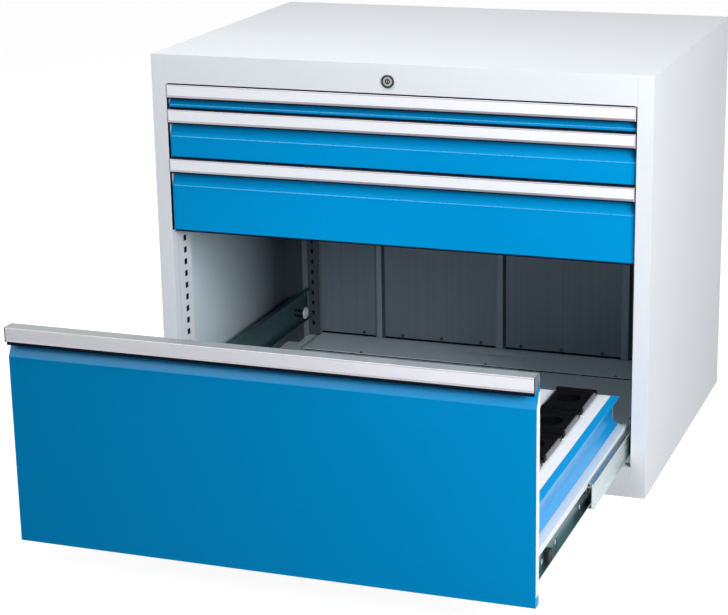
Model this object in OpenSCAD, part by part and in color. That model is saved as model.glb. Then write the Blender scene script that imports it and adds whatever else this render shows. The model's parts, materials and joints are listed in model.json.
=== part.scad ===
// Sheet-steel drawer cabinet: three drawers above a tall tool pull-out that stands open at its stop.
// Origin at the centre of the footprint on the ground, +X to the right, +Y to the back, +Z up, millimetres.

/* [Cabinet] */
// Width of the carcass
cab_w = 1005; // [960:5:1100]
// Depth of the carcass
cab_d = 736; // [720:2:800]
// Thickness of the carcass sheet
sheet = 1.5; // [1.2:0.1:2]
// Width of each front stile
stile_w = 30; // [26:1:40]
// Depth of the folded returns behind the front frame
frame_return = 25; // [20:1:25]
// Height of the header above the drawers
header_h = 58; // [50:1:80]
// Height of the bottom rail below the drawers
plinth_h = 61; // [50:1:80]
// Height of the floor plate above the ground
floor_z = 28; // [20:1:40]
// Width of the rear flanges of the side panels
rear_flange = 20; // [12:1:30]

/* [Back and floor] */
// Distance between the stiffening beads of the back
bead_pitch = 295; // [200:5:320]
// Width of a stiffening bead
bead_w = 25; // [15:1:40]
// Depth of a stiffening bead
bead_d = 6; // [3:1:8]
// Depth of the rear floor cover strip
cover_d = 128; // [80:1:160]
// Height of the rear floor cover strip above the floor plate
cover_h = 5; // [3:0.5:8]
// Overhang of the rear floor cover strip in front of its foot
cover_over = 14; // [6:1:30]
// Width of the web of the base stiffener
stiffener_w = 90; // [60:5:140]
// Width of each flange of the base stiffener
stiffener_flange = 25; // [15:1:40]
// Radius of the four ground anchor holes
anchor_r = 6; // [4:0.5:8]
// Distance between the anchor holes across the cabinet
anchor_dx = 860; // [700:10:880]
// Distance between the anchor holes from front to back
anchor_dy = 440; // [300:10:460]
// Radius of the rivet and floor screw heads
head_r = 4; // [3:0.5:6]
// Height of the rivet and floor screw heads
head_h = 2; // [1:0.5:4]
// Distance between the rivets along the back
rivet_pitch = 96; // [60:2:140]
// Distance between the floor screws along the cover strip
floor_screw_pitch = 300; // [200:10:320]

/* [Uprights] */
// Pitch of the slots in the uprights
slot_pitch = 25; // [20:1:30]
// Height of an upright slot
slot_h = 10; // [6:0.5:14]
// Width of a slot in a front upright
front_slot_w = 10; // [6:0.5:12]
// Width of a slot in a rear upright
slot_w = 6; // [4:0.5:8]
// Depth of a front upright
upright_d = 59; // [50:1:80]
// Depth of a rear upright
rear_upright_d = 68; // [50:1:90]
// Width of the slotted flange of a rear upright
rear_upright_w = 29; // [22:1:30]

/* [Drawer fronts] */
// Pitch of the topmost drawer
pitch_1 = 50; // [50:25:100]
// Pitch of the second drawer
pitch_2 = 100; // [75:25:150]
// Pitch of the third drawer
pitch_3 = 150; // [100:25:200]
// Pitch of the tool pull-out
tool_pitch = 400; // [350:25:450]
// Gap between neighbouring fronts
front_gap = 3; // [2:0.5:5]
// Gap between a front and the stile beside it
side_gap = 2; // [1.5:0.5:4]
// Distance of the flat faces behind the front of the cabinet
setback = 8; // [0:1:8]
// Distance of the back of a front's liner behind the front of the cabinet
front_d = 28; // [28:0.5:32]
// Depth of the sloped finger recess under the grip
slope_d = 16; // [10:1:16]
// Height of the sloped finger recess
slope_h = 29; // [20:1:40]
// Least height of the flat face under the recess
flat_min = 6; // [3:1:10]
// Height of the folded bottom corners of a front
corner_h = 18; // [6:1:19]

/* [Grip strip] */
// Height of the grip strip
grip_h = 26; // [22:1:27]
// Distance that the grip stands in front of the flat face
grip_proud = 10; // [6:1:16]
// Wall of the grip extrusion
grip_t = 2; // [1.5:0.1:2.5]
// Depth of the label groove in the grip
label_groove = 1; // [0.8:0.1:1.2]
// Thickness of the label strip
label_t = 0.8; // [0.5:0.1:0.8]
// Height of the grip edge above the label
label_top_edge = 3; // [2:0.5:5]
// Height of the grip edge below the label
label_low_edge = 5; // [3:0.5:7]
// Depth of the lip under the grip
grip_lip = 6; // [4.5:0.5:9]
// Height of the grip flange on the front
grip_flange = 12; // [8:1:16]
// Thickness of an end cap
cap_t = 2; // [1:0.5:4]

/* [Slides] */
// Travel of every drawer
travel = 680; // [620:1:690]
// Sheet thickness of the rails
rail_t = 2; // [1.5:0.1:2.2]
// Height of the cabinet rail of a drawer
light_rail_h = 42; // [40:0.5:43]
// Height of the cabinet rail of the tool pull-out
heavy_rail_h = 71; // [66:1:90]
// Height of the drawer rail of a drawer
light_run_h = 30; // [28:0.5:31]
// Height of the drawer rail of the tool pull-out
heavy_run_h = 55; // [50:1:58]
// Height of the slide of a drawer above its bay
light_lift = 4; // [3:0.5:5]
// Height of the slide of the tool pull-out above its bay
heavy_lift = 15; // [10:1:30]
// Reach of the cabinet rail of a drawer from the upright
light_reach = 13; // [10:0.5:24]
// Reach of the cabinet rail of the tool pull-out from the upright
heavy_reach = 13; // [10:0.5:24]
// Radius of the front rollers of the drawers
light_roller_r = 9; // [6:0.5:10]
// Radius of the front rollers of the tool pull-out
heavy_roller_r = 13; // [8:0.5:16]
// Radius of the rear rollers of the drawers
light_rear_r = 10; // [7:0.5:12]
// Radius of the rear rollers of the tool pull-out
heavy_rear_r = 18; // [12:0.5:22]
// Radius of the fixed support rollers of the drawers
light_support_r = 7; // [5:0.5:9]
// Radius of the fixed support rollers of the tool pull-out
heavy_support_r = 12; // [8:0.5:18]
// Running gap between a roller and its track
roller_gap = 0.3; // [0.2:0.1:0.5]
// Radius of the roller axles
axle_r = 3; // [2:0.5:4]
// Length of the flanged part of a middle rail
mid_len = 520; // [480:5:530]
// Radius of the rear stop bolts of the drawers
light_stop_r = 5; // [3:0.5:7]
// Radius of the rear stop bolts of the tool pull-out
heavy_stop_r = 9; // [5:0.5:12]
// Radius of the rail screw heads
screw_r = 5; // [4:0.5:6]
// Height of the rail screw heads
screw_h = 3; // [2:0.5:4]
// Distances of the holes in the drawer rails of the tool pull-out behind its liner
rail_holes = [112, 200, 367]; // [40:1:500]
// Length of a hole in these drawer rails
rail_hole_l = 14; // [8:1:18]
// Height of a hole in these drawer rails
rail_hole_h = 11; // [6:1:20]

/* [Trays] */
// Thickness of the tray sheet
tray_t = 1.5; // [1:0.1:2]
// Height of the tray bottom above its bay
tray_lift = 5; // [4:0.5:8]
// Distance of the tray rim below the top of the front
rim_drop = 8; // [6:0.5:12]
// Distance of the tray's rear wall from the back of the cabinet
tray_rear = 26; // [18:1:60]

/* [Tool pull-out] */
// Thickness of the ledges, side rails and carriers
frame_t = 2; // [1.5:0.1:2]
// Height of the side rails above the ledges
side_h = 59; // [50:1:80]
// Height of the outward fold at the foot of a side rail
foot_h = 13; // [8:1:18]
// Height of the outward fold at the head of a side rail
head_fold_h = 18; // [10:1:20]
// Depth of the outward folds of a side rail
fold_d = 10; // [6:1:10]
// Width of the head flange of a side rail
side_flange = 15; // [12:1:18]
// Height of the lip along the outer edge of a ledge
lip_h = 12; // [6:0.5:12]
// Width of a ledge
ledge_w = 52; // [46:1:70]
// Pitch of the tool carriers
row_pitch = 131; // [124:1:133]
// Gap between neighbouring tool carriers
row_gap = 2; // [1:0.5:4]
// Number of carriers that hold tool inserts
rows = 4; // [2:1:4]
// Number of tool inserts in a row
columns = 5; // [3:1:7]
// Depth of the folded edges of a carrier
carrier_fold = 25; // [12:1:40]
// Width of a tool insert with its side clips
base_w = 80; // [78:1:90]
// Length of the side clips of an insert
clip_len = 92; // [60:1:100]
// Height of the side clips of an insert
clip_h = 9; // [5:1:12]
// Width of a tool insert between its side clips
insert_w = 72; // [66:1:74]
// Height of a tool insert above its carrier
insert_h = 10; // [6:0.5:30]
// Distance between the edge of a row and its inserts
insert_edge = 3; // [2:0.5:6]
// Radius of a tool socket
socket_r = 23; // [16:0.5:25]
// Wall of the sleeve below a tool insert
sleeve_wall = 4; // [2:0.5:4.5]
// Depth of the sleeve below the carrier
sleeve_drop = 25; // [10:1:40]
// Height of the ribs on a tool insert
rib_h = 1.5; // [1:0.5:4]
// Length of a rubber buffer
buffer_len = 22; // [12:1:30]
// Height of a rubber buffer
buffer_h = 20; // [10:1:22]

/* [Lock] */
// Position of the lock across the header
lock_x = -8; // [-60:1:60]
// Height of the lock axis above the bottom of the header
lock_rise = 25; // [23:1:32]
// Radius of the lock plug
plug_r = 9; // [7:0.5:10]
// Wall of the lock housing
housing_wall = 2; // [1.5:0.1:3]
// Width of the ring around the lock
ring_w = 1.7; // [1:0.1:3]
// Height of the ring in front of the header
ring_h = 3; // [2:0.5:4]
// Running gap around the lock plug
plug_gap = 0.1; // [0.05:0.01:0.1]
// Stroke of the lock bar and the link
lock_stroke = 8; // [6:0.5:8]
// Radius of the pins of the lock drive
lock_pin_r = 2; // [1.5:0.25:2.5]
// Play of the pins in their slots
lock_play = 0.4; // [0.3:0.05:0.6]
// Thickness of the link, the cam and the lock bar
lock_t = 3; // [2:0.5:3]
// Width of the lock bar
lock_bar_w = 9; // [7:0.5:12]
// Height of a lock hook
hook_h = 4; // [3:0.5:5]

/* [Hidden] */
$fn = 48;

grey = "#dfe3e8";
blue = "#0089cc";
zinc = "#aab4ba";
alu = "#c9ced2";
black = "#1c1d1f";
steel = "#8d9499";

// Bays from the bottom: the tool pull-out, then drawers 3, 2 and 1
pitches = [tool_pitch, pitch_3, pitch_2, pitch_1];
function bay_z(i) = i == 0 ? plinth_h : bay_z(i - 1) + pitches[i - 1];
function bay(drawer) = 4 - drawer;
cab_h = bay_z(3) + pitch_1 + header_h;

// Carcass planes
x_out = cab_w / 2;
x_in = x_out - sheet;
x_stile = x_out - stile_w;
y_front = -cab_d / 2;
y_back = cab_d / 2;
y_wall = y_back - 2 * sheet;
y_frame = y_front + frame_return;
y_fix = y_wall - 54;
fix_x = 12;
fix_reach = 80;
z_header = cab_h - header_h;
z_top = cab_h - sheet;
touch = 0.5;

// Slide stations, measured from the middle plane outwards
x_up = x_stile + 0.5;
mid_gap = 1.5;
groove_out = 3.5;
groove_in = 5;
run_gap = 3;
channel = 10;
x_web = x_up - rail_t;
x_mid_out = x_web - mid_gap;
x_mid_web = x_mid_out - groove_out;
x_mid_face = x_mid_web - rail_t;
x_mid_in = x_mid_face - groove_in;
x_run = x_mid_in - run_gap;
x_run_web = x_run - channel;
x_side = x_run_web - rail_t;

// Slide stations from front to back, with the drawer shut
y_liner = y_front + front_d;
y_rail = y_liner + 5;
y_rail_end = y_back - 23;
y_mid = y_liner + 35;
y_mid_end = y_mid + mid_len;
tab_len = 35;
y_run = y_liner + 2;
y_tray_end = y_back - tray_rear;
y_roller = y_mid + 15;
y_support = y_mid + 40;
y_stop = y_mid_end + tab_len + 20;
lug_len = 20;
y_lug = y_mid_end - 5 - lug_len;

function heavy(i) = i == 0;
function rail_h(i) = heavy(i) ? heavy_rail_h : light_rail_h;
function run_h(i) = heavy(i) ? heavy_run_h : light_run_h;
function reach(i) = heavy(i) ? heavy_reach : light_reach;
function roller_r(i) = heavy(i) ? heavy_roller_r : light_roller_r;
function rear_r(i) = heavy(i) ? heavy_rear_r : light_rear_r;
function support_r(i) = heavy(i) ? heavy_support_r : light_support_r;
function stop_r(i) = heavy(i) ? heavy_stop_r : light_stop_r;
run_lift = 3;
mid_inset = 3;
function slide_z(i) = bay_z(i) + (heavy(i) ? heavy_lift : light_lift);
function run_z(i) = slide_z(i) + run_lift;
function run_top(i) = run_z(i) + run_h(i);
function mid_z(i) = run_z(i) + mid_inset;
function mid_h(i) = run_h(i) - 2 * mid_inset;
function mid_top(i) = mid_z(i) + mid_h(i);
function groove_z(i) = mid_z(i) + mid_h(i) / 2;

// Fronts: lower and upper edge, finger recess and bend
function front_z0(i) = bay_z(i) + front_gap / 2;
function front_z1(i) = bay_z(i) + pitches[i] - front_gap / 2;
function recess_z(i) = front_z1(i) - grip_h;
function slope_of(i) = min(slope_h, recess_z(i) - front_z0(i) - flat_min);
function bend_z(i) = recess_z(i) - slope_of(i);
function bend_shift(i, t) = t * tan(atan(slope_d / slope_of(i)) / 2);
x_front = x_stile - side_gap;
y_face = y_front + setback;
y_slope = y_face + slope_d;
y_grip = y_face - grip_proud;
y_grip_end = y_slope + sheet;
grip_wall = grip_t + label_groove;
x_grip = x_front - cap_t;

// Tool pull-out levels and stations
z_ledge = run_top(0) + frame_t;
z_deck = z_ledge + side_h;
x_lip = x_run + 1.2;
x_foot = x_run_web - 5;
x_side_web = x_foot - fold_d;
x_head = x_side_web + fold_d + 2;
x_deck = x_head - side_flange - 1;
x_insert = x_deck - 25 - base_w / 2;
column_pitch = 2 * x_insert / (columns - 1);
ledge_end = y_back - 23;
y_side_end = y_back - 34;
y_rows = y_side_end - 1;
sleeve_r = socket_r + sleeve_wall;
hole_r = sleeve_r + 0.5;
insert_d = row_pitch - row_gap - 2 * insert_edge;
y_buffer = y_liner + 123;

// Lock stations
lock_z = z_header + lock_rise;
cam_r = lock_stroke / sqrt(2);
housing_r = plug_r + plug_gap + housing_wall;
y_lock_bar = y_frame + 4.5;
y_link = y_lock_bar - 0.5 - lock_t;
y_cam = y_link - 2.5 - lock_t;
y_housing_end = y_cam - 0.5;
slot_half = lock_pin_r + lock_play;
link_z0 = lock_z - cam_r - slot_half - 6;
link_h = 16;
x_lock_bar = x_in - lock_stroke - slot_half - 5;
bar_pin_z = link_z0 + lock_stroke + slot_half + 4;
hook_x = x_mid_in + 1;
function hook_z(i) = mid_top(i) + 1.5 + lock_stroke;
y_upright = y_lock_bar - 0.5 - sheet;

// A piece and its mirror image on the other side
module pair() {
    children();
    mirror([1, 0, 0]) children();
}

// Extrudes an outline drawn in Y and Z along the width
module along_x(w) {
    rotate([90, 0, 90]) linear_extrude(w, center = true) children();
}

// Extrudes an outline drawn in X and Z from y0 to y1
module along_y(y0, y1) {
    translate([0, y1, 0]) rotate([90, 0, 0]) linear_extrude(y1 - y0) children();
}

// A box from its lowest to its highest corner
module block(low, high) {
    translate(low) cube(high - low);
}

// A round bar along X from x0 to x1
module pin_x(x0, x1, y, z, r) {
    translate([x0, y, z]) rotate([0, 90, 0]) cylinder(h = x1 - x0, r = r);
}

// A round bar along Y from y0 to y1
module pin_y(y0, y1, x, z, r) {
    translate([x, y1, z]) rotate([90, 0, 0]) cylinder(h = y1 - y0, r = r);
}

// Right side panel: stile, inner return, side wall and rear flange
module side_panel() {
    linear_extrude(z_top) polygon([
        [x_stile, y_frame], [x_stile, y_front], [x_out, y_front], [x_out, y_back],
        [x_out - rear_flange, y_back], [x_out - rear_flange, y_back - sheet], [x_in, y_back - sheet],
        [x_in, y_front + sheet], [x_stile + sheet, y_front + sheet], [x_stile + sheet, y_frame]
    ]);
}

module right_side_panel() {
    color(grey) side_panel();
}

module left_side_panel() {
    color(grey) mirror([1, 0, 0]) side_panel();
}

module top_panel() {
    color(grey) difference() {
        union() {
            block([-x_out, y_front, z_top], [x_out, y_back, cab_h]);
            along_x(2 * x_stile) polygon([
                [y_front, z_top], [y_front, z_header], [y_frame, z_header], [y_frame, z_header + sheet],
                [y_front + sheet, z_header + sheet], [y_front + sheet, z_top]
            ]);
        }
        pin_y(y_front - 1, y_front + sheet + 1, lock_x, lock_z, housing_r + 0.2);
    }
}

module back_panel() {
    color(grey) union() {
        block([-x_in, y_wall, 0], [x_in, y_back - sheet, z_top]);
        for (k = [-1:1]) {
            translate([k * bead_pitch, y_wall, floor_z + cover_h + 1])
                linear_extrude(cab_h - floor_z - cover_h - 8)
                polygon([[-bead_w / 2, 0], [-bead_w / 2 + bead_d, -bead_d], [bead_w / 2 - bead_d, -bead_d],
                    [bead_w / 2, 0]]);
        }
    }
}

module base_panel() {
    color(grey) difference() {
        union() {
            block([-x_in, y_frame, floor_z - sheet], [x_in, y_wall, floor_z]);
            pair() block([x_in - sheet, y_frame, 0], [x_in, y_wall, floor_z]);
        }
        for (sx = [-1, 1], sy = [-1, 1]) {
            translate([sx * anchor_dx / 2, sy * anchor_dy / 2 - 40, 0])
                cylinder(h = floor_z + 1, r = anchor_r);
        }
        block([fix_x - fix_reach, y_fix - 9, 0], [fix_x + fix_reach, y_fix + 9, floor_z + 1]);
    }
}

module bottom_rail() {
    color(grey) along_x(2 * x_stile) polygon([
        [y_frame - touch, 0], [y_front, 0], [y_front, plinth_h], [y_frame, plinth_h],
        [y_frame, floor_z - sheet], [y_frame - sheet, floor_z - sheet], [y_frame - sheet, plinth_h - sheet],
        [y_front + sheet, plinth_h - sheet], [y_front + sheet, sheet], [y_frame - touch, sheet]
    ]);
}

// Rear floor cover: a strip that overhangs its foot, with fixing slots and a round hole
module rear_floor_cover() {
    slot_x = [17, 64];
    slot_len = 18;
    slot_r = 6;
    fix_r = 7;
    y_foot = y_wall - cover_d + cover_over;
    z1 = floor_z + cover_h;
    x_cover = x_up - rear_upright_w - 2;
    color(grey) difference() {
        along_x(2 * x_cover) polygon([
            [y_wall - cover_d, z1 - sheet], [y_wall - cover_d, z1], [y_wall, z1], [y_wall, z1 - sheet],
            [y_foot + sheet, z1 - sheet], [y_foot + sheet, floor_z], [y_foot, floor_z], [y_foot, z1 - sheet]
        ]);
        translate([fix_x, y_fix, floor_z]) cylinder(h = cover_h + 1, r = fix_r);
        for (s = [-1, 1], x = slot_x) {
            block([fix_x + s * x - slot_len / 2, y_fix - slot_r, floor_z],
                [fix_x + s * x + slot_len / 2, y_fix + slot_r, z1 + 1]);
        }
    }
}

module base_stiffener() {
    half = stiffener_w / 2;
    z_hat = floor_z - sheet;
    color(grey) along_x(2 * (x_in - sheet)) polygon([
        [-half - stiffener_flange, z_hat], [-half - stiffener_flange, z_hat - sheet], [-half, z_hat - sheet],
        [-half, 0], [half, 0], [half, z_hat - sheet], [half + stiffener_flange, z_hat - sheet],
        [half + stiffener_flange, z_hat], [half - sheet, z_hat], [half - sheet, sheet],
        [sheet - half, sheet], [sheet - half, z_hat]
    ]);
}

upright_h = z_header - floor_z - 3;
slot_count = floor((upright_h - 2 * slot_pitch) / slot_pitch);
slot_z0 = floor_z + slot_pitch;

// Right front upright: a channel with its slotted web to the inside
module front_upright() {
    y_end = y_upright + upright_d;
    y_slot = y_upright + upright_d / 2 + 1;
    difference() {
        translate([0, 0, floor_z]) linear_extrude(upright_h) polygon([
            [x_up, y_upright], [x_in, y_upright], [x_in, y_upright + sheet],
            [x_up + sheet, y_upright + sheet], [x_up + sheet, y_end - sheet], [x_in, y_end - sheet],
            [x_in, y_end], [x_up, y_end]
        ]);
        for (k = [0:slot_count]) {
            translate([x_up - 1, y_slot - front_slot_w / 2, slot_z0 + k * slot_pitch])
                cube([sheet + 2, front_slot_w, slot_h]);
        }
    }
}

// Windows for the lock hooks in the web of the left front upright
module hook_windows() {
    for (i = [0:3]) {
        block([-x_up - sheet - 1, y_lock_bar - 1, hook_z(i) - lock_stroke - 1],
            [1 - x_up, y_lock_bar + lock_t + 1, hook_z(i) + hook_h + 1]);
    }
}

module front_uprights() {
    color(grey) union() {
        front_upright();
        difference() {
            mirror([1, 0, 0]) front_upright();
            hook_windows();
        }
    }
}

// Right rear upright: web beside the slides and a slotted flange that faces the front
module rear_upright() {
    y_end = y_wall - 8;
    y_start = y_end - rear_upright_d;
    x_flange = x_up - rear_upright_w;
    difference() {
        translate([0, 0, floor_z]) linear_extrude(upright_h) polygon([
            [x_up, y_start], [x_in, y_start], [x_in, y_start + sheet], [x_up + sheet, y_start + sheet],
            [x_up + sheet, y_end], [x_flange, y_end], [x_flange, y_end - sheet], [x_up, y_end - sheet]
        ]);
        for (k = [0:slot_count]) {
            translate([x_up - 12 - slot_w / 2, y_end - sheet - 1, slot_z0 + k * slot_pitch])
                cube([slot_w, sheet + 2, slot_h]);
        }
    }
}

module rear_uprights() {
    color(grey) pair() rear_upright();
}

module floor_screws() {
    color(steel) for (k = [-1:1]) {
        translate([k * floor_screw_pitch, y_wall - cover_d + head_r + 1, floor_z + cover_h])
            cylinder(h = head_h, r = head_r);
    }
}

module back_rivets() {
    color(steel) for (k = [-3:4]) {
        pin_y(y_wall - head_h, y_wall, (k - 0.5) * rivet_pitch, floor_z + cover_h + 10, head_r);
    }
}

// Channel section that opens towards the middle of the cabinet
module cabinet_rail(i) {
    z0 = slide_z(i);
    z1 = z0 + rail_h(i);
    along_y(y_rail, y_rail_end) polygon([
        [x_up, z0], [x_up, z1], [x_up - reach(i), z1], [x_up - reach(i), z1 - rail_t], [x_web, z1 - rail_t],
        [x_web, z0 + rail_t], [x_up - reach(i), z0 + rail_t], [x_up - reach(i), z0]
    ]);
}

module cabinet_rails() {
    color(zinc) pair() for (i = [0:3]) cabinet_rail(i);
}

// Fixed rollers that carry the middle rails, with their axles on the cabinet rails
module support_rollers() {
    color(steel) pair() for (i = [0:3]) {
        z = mid_top(i) - rail_t - roller_gap - support_r(i);
        pin_x(x_mid_web + 0.4, x_mid_out, y_support, z, support_r(i));
        pin_x(x_mid_out - touch, x_web, y_support, z, axle_r);
    }
}

// Heads of the screws that hold the rails: the front ones run in the groove of the middle rails
module rail_screws() {
    y_front_screw = y_upright + upright_d / 2 - 3;
    y_rear_screw = y_wall - 42;
    color(steel) pair() for (i = [0:3]) {
        pin_x(x_web - screw_h, x_web, y_front_screw, groove_z(i), screw_r);
        pin_x(x_web - screw_h, x_web, y_rear_screw, slide_z(i) + rail_h(i) - rail_t - screw_r - 1, screw_r);
    }
}

module stop_bolts() {
    color(steel) pair() for (i = [0:3]) {
        pin_x(x_run_web + 4, x_web, y_stop, groove_z(i), stop_r(i));
    }
}

module lock_housing() {
    color(steel) difference() {
        union() {
            pin_y(y_front - ring_h, y_front, lock_x, lock_z, housing_r + ring_w);
            pin_y(y_front - ring_h, y_housing_end, lock_x, lock_z, housing_r);
        }
        pin_y(y_front - ring_h - 1, y_housing_end + 1, lock_x, lock_z, plug_r + plug_gap);
    }
}

module lock_plug() {
    key_w = 2;
    key_l = 9;
    key_d = 6;
    y_plug = y_front - ring_h + 0.5;
    color(alu) difference() {
        pin_y(y_plug, y_cam, lock_x, lock_z, plug_r);
        block([lock_x - key_w / 2, y_plug - 1, lock_z - key_l / 2],
            [lock_x + key_w / 2, y_plug + key_d, lock_z + key_l / 2]);
    }
}

// Round cam disc with the driving pin at 45 degrees below the axis
module lock_cam() {
    color(zinc) union() {
        pin_y(y_cam, y_cam + lock_t, lock_x, lock_z, cam_r + lock_pin_r + 2);
        pin_y(y_cam, y_link + lock_t, lock_x + cam_r * sin(45), lock_z - cam_r * cos(45), lock_pin_r);
    }
}

// Link with an upright slot for the cam pin and a slanting slot for the pin of the lock bar
module lock_link() {
    x_pin = lock_x + cam_r * sin(45);
    x_left = -x_lock_bar - slot_half - 3;
    slant = lock_stroke * sqrt(2);
    end_w = lock_stroke + 2 * slot_half + 8;
    color(zinc) difference() {
        union() {
            block([x_left, y_link, link_z0], [x_pin + slot_half + 5, y_link + lock_t, link_z0 + link_h]);
            block([x_left, y_link, link_z0 - 2],
                [x_left + end_w, y_link + lock_t, link_z0 + lock_stroke + 2 * slot_half + 8]);
        }
        block([x_pin - slot_half, y_link - 1, lock_z - cam_r - slot_half],
            [x_pin + slot_half, y_link + lock_t + 1, link_z0 + link_h + 1]);
        translate([-x_lock_bar, y_link - 1, bar_pin_z]) rotate([0, 45, 0])
            translate([-slot_half, 0, -slot_half]) cube([slant + 2 * slot_half, lock_t + 2, 2 * slot_half]);
    }
}

// Upright bar behind the left stile, with one hook for each drawer
module lock_bar() {
    x0 = -x_lock_bar - lock_bar_w / 2;
    x1 = lock_bar_w / 2 - x_lock_bar;
    color(zinc) union() {
        block([x0, y_lock_bar, hook_z(0) - 40], [x1, y_lock_bar + lock_t, bar_pin_z + lock_pin_r + 2]);
        pin_y(y_link, y_lock_bar + lock_t, -x_lock_bar, bar_pin_z, lock_pin_r);
        for (i = [0:3]) {
            block([x0, y_lock_bar, hook_z(i)], [-hook_x, y_lock_bar + lock_t, hook_z(i) + hook_h]);
        }
    }
}

// Painted front: bottom fold, flat face, finger recess and upright edge behind the grip
module front(i) {
    s = bend_shift(i, sheet);
    z0 = front_z0(i);
    z1 = front_z1(i) - grip_t;
    corner = min(corner_h, bend_z(i) - z0 + flat_min);
    color(blue) union() {
        along_x(2 * x_front) polygon([
            [y_liner, z0], [y_face, z0], [y_face, bend_z(i)], [y_slope, recess_z(i)], [y_slope, z1],
            [y_slope + sheet, z1], [y_slope + sheet, recess_z(i) - s], [y_face + sheet, bend_z(i) - s],
            [y_face + sheet, z0 + sheet], [y_liner, z0 + sheet]
        ]);
        pair() along_x_end(i, z0, min(corner, bend_z(i) - s - z0));
    }
}

// Folded corner at the right end of a front's bottom fold
module along_x_end(i, z0, h) {
    block([x_front - sheet, y_face, z0], [x_front, y_liner, z0 + h]);
}

// Outline of the space behind a front, from height z0 to z1
module liner_outline(i, z0, z1, back) {
    s = bend_shift(i, sheet);
    polygon([
        [y_face + sheet, z0], [y_face + sheet, bend_z(i) - s], [y_slope + sheet, recess_z(i) - s],
        [y_slope + sheet, z1], [back, z1], [back, z0]
    ]);
}

// Grey pan behind a front: back sheet, two sides, head, and the catch of the central lock
module liner(i) {
    z0 = front_z0(i) + min(corner_h, bend_z(i) - front_z0(i) - bend_shift(i, sheet));
    z1 = front_z1(i) - 6;
    difference() {
        along_x(2 * x_front) liner_outline(i, z0, z1, y_liner);
        along_x(2 * (x_front - tray_t)) liner_outline(i, z0 - 1, z1 - tray_t, y_liner - tray_t);
    }
    block([-x_front + tray_t + 0.5, y_liner - tray_t, front_z0(i) + sheet],
        [x_front - tray_t - 0.5, y_liner, z1]);
    lock_catch(i);
}

// U-shaped catch on the back of the liner that the lock hook drops into
module lock_catch(i) {
    x0 = -x_mid_out + 1.5;
    x1 = -hook_x - 0.5;
    y_hook = y_lock_bar + lock_t + 2;
    z0 = mid_top(i) - 2;
    block([x0, y_liner - tray_t, z0], [x1, y_hook + 2, z0 + 2]);
    block([x0, y_hook, z0], [x1, y_hook + 2, z0 + lock_stroke + 1]);
}

// Grip extrusion with the label groove in its face
module grip(i) {
    z0 = recess_z(i);
    z1 = front_z1(i);
    color(alu) along_x(2 * x_grip) polygon([
        [y_grip, z0], [y_grip, z0 + label_low_edge], [y_grip + label_groove, z0 + label_low_edge],
        [y_grip + label_groove, z1 - label_top_edge], [y_grip, z1 - label_top_edge], [y_grip, z1],
        [y_grip_end, z1], [y_grip_end, z1 - grip_t], [y_slope, z1 - grip_t], [y_slope, z1 - grip_flange],
        [y_slope - grip_t, z1 - grip_flange], [y_slope - grip_t, z1 - grip_t],
        [y_grip + grip_wall, z1 - grip_t], [y_grip + grip_wall, z0 + grip_t],
        [y_grip + grip_lip, z0 + grip_t], [y_grip + grip_lip, z0]
    ]);
}

module label(i) {
    color("white") block(
        [-x_grip, y_grip + label_groove - label_t, recess_z(i) + label_low_edge + 0.2],
        [x_grip, y_grip + label_groove, front_z1(i) - label_top_edge - 0.2]);
}

module end_caps(i) {
    z0 = recess_z(i);
    z1 = front_z1(i);
    color(steel) pair() translate([x_grip + cap_t / 2, 0, 0]) along_x(cap_t) polygon([
        [y_grip, z0], [y_grip, z1], [y_grip_end, z1], [y_grip_end, z1 - grip_t], [y_slope, z1 - grip_t],
        [y_slope, z1 - grip_flange], [y_grip + grip_lip, z0]
    ]);
}

// Tray of a drawer: liner, bottom, side walls with a folded rim and rear wall
module tray(i) {
    z0 = bay_z(i) + tray_lift;
    z1 = front_z1(i) - rim_drop;
    rim = 6;
    color(grey) union() {
        liner(i);
        block([-x_side, y_liner - touch, z0], [x_side, y_tray_end, z0 + tray_t]);
        block([-x_side, y_tray_end - tray_t, z0], [x_side, y_tray_end, z1]);
        pair() block([x_side - tray_t, y_liner, z0], [x_side, y_tray_end, z1]);
        pair() block([x_side - rim, y_liner, z1 - tray_t], [x_side, y_tray_end, z1]);
    }
}

// Right drawer rail: channel that opens outwards, with a guide lug for the groove of the middle rail
module drawer_rail(i, y_end) {
    z0 = run_z(i);
    z1 = run_top(i);
    along_y(y_run, y_end) polygon([
        [x_side, z0], [x_run, z0], [x_run, z0 + rail_t], [x_run_web, z0 + rail_t], [x_run_web, z1 - rail_t],
        [x_run, z1 - rail_t], [x_run, z1], [x_side, z1]
    ]);
    lug_top = min(mid_top(i) - rail_t - 1, z_lug_limit(i));
    block([x_run_web - touch, y_lug, mid_z(i) + rail_t + 1], [x_mid_face - 0.6, y_lug + lug_len, lug_top]);
}

// Upper limit of a guide lug: it passes under the lip of a ledge
function z_lug_limit(i) = heavy(i) ? z_ledge - lip_h - 1 : mid_top(i);

module drawer_rails(i) {
    color(zinc) pair() drawer_rail(i, y_tray_end - 2);
}

// Right middle rail: web with grooves on both sides and a tab for the rear roller
module middle_rail(i) {
    z0 = mid_z(i);
    z1 = mid_top(i);
    along_y(y_mid, y_mid_end) polygon([
        [x_mid_in, z0], [x_mid_out, z0], [x_mid_out, z0 + rail_t], [x_mid_web, z0 + rail_t],
        [x_mid_web, z1 - rail_t], [x_mid_out, z1 - rail_t], [x_mid_out, z1], [x_mid_in, z1],
        [x_mid_in, z1 - rail_t], [x_mid_face, z1 - rail_t], [x_mid_face, z0 + rail_t], [x_mid_in, z0 + rail_t]
    ]);
    block([x_mid_face, y_mid_end - touch, z0 + rail_t], [x_mid_web, y_mid_end + tab_len, z1 - rail_t]);
}

module middle_rails(i) {
    color(zinc) pair() middle_rail(i);
}

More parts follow.
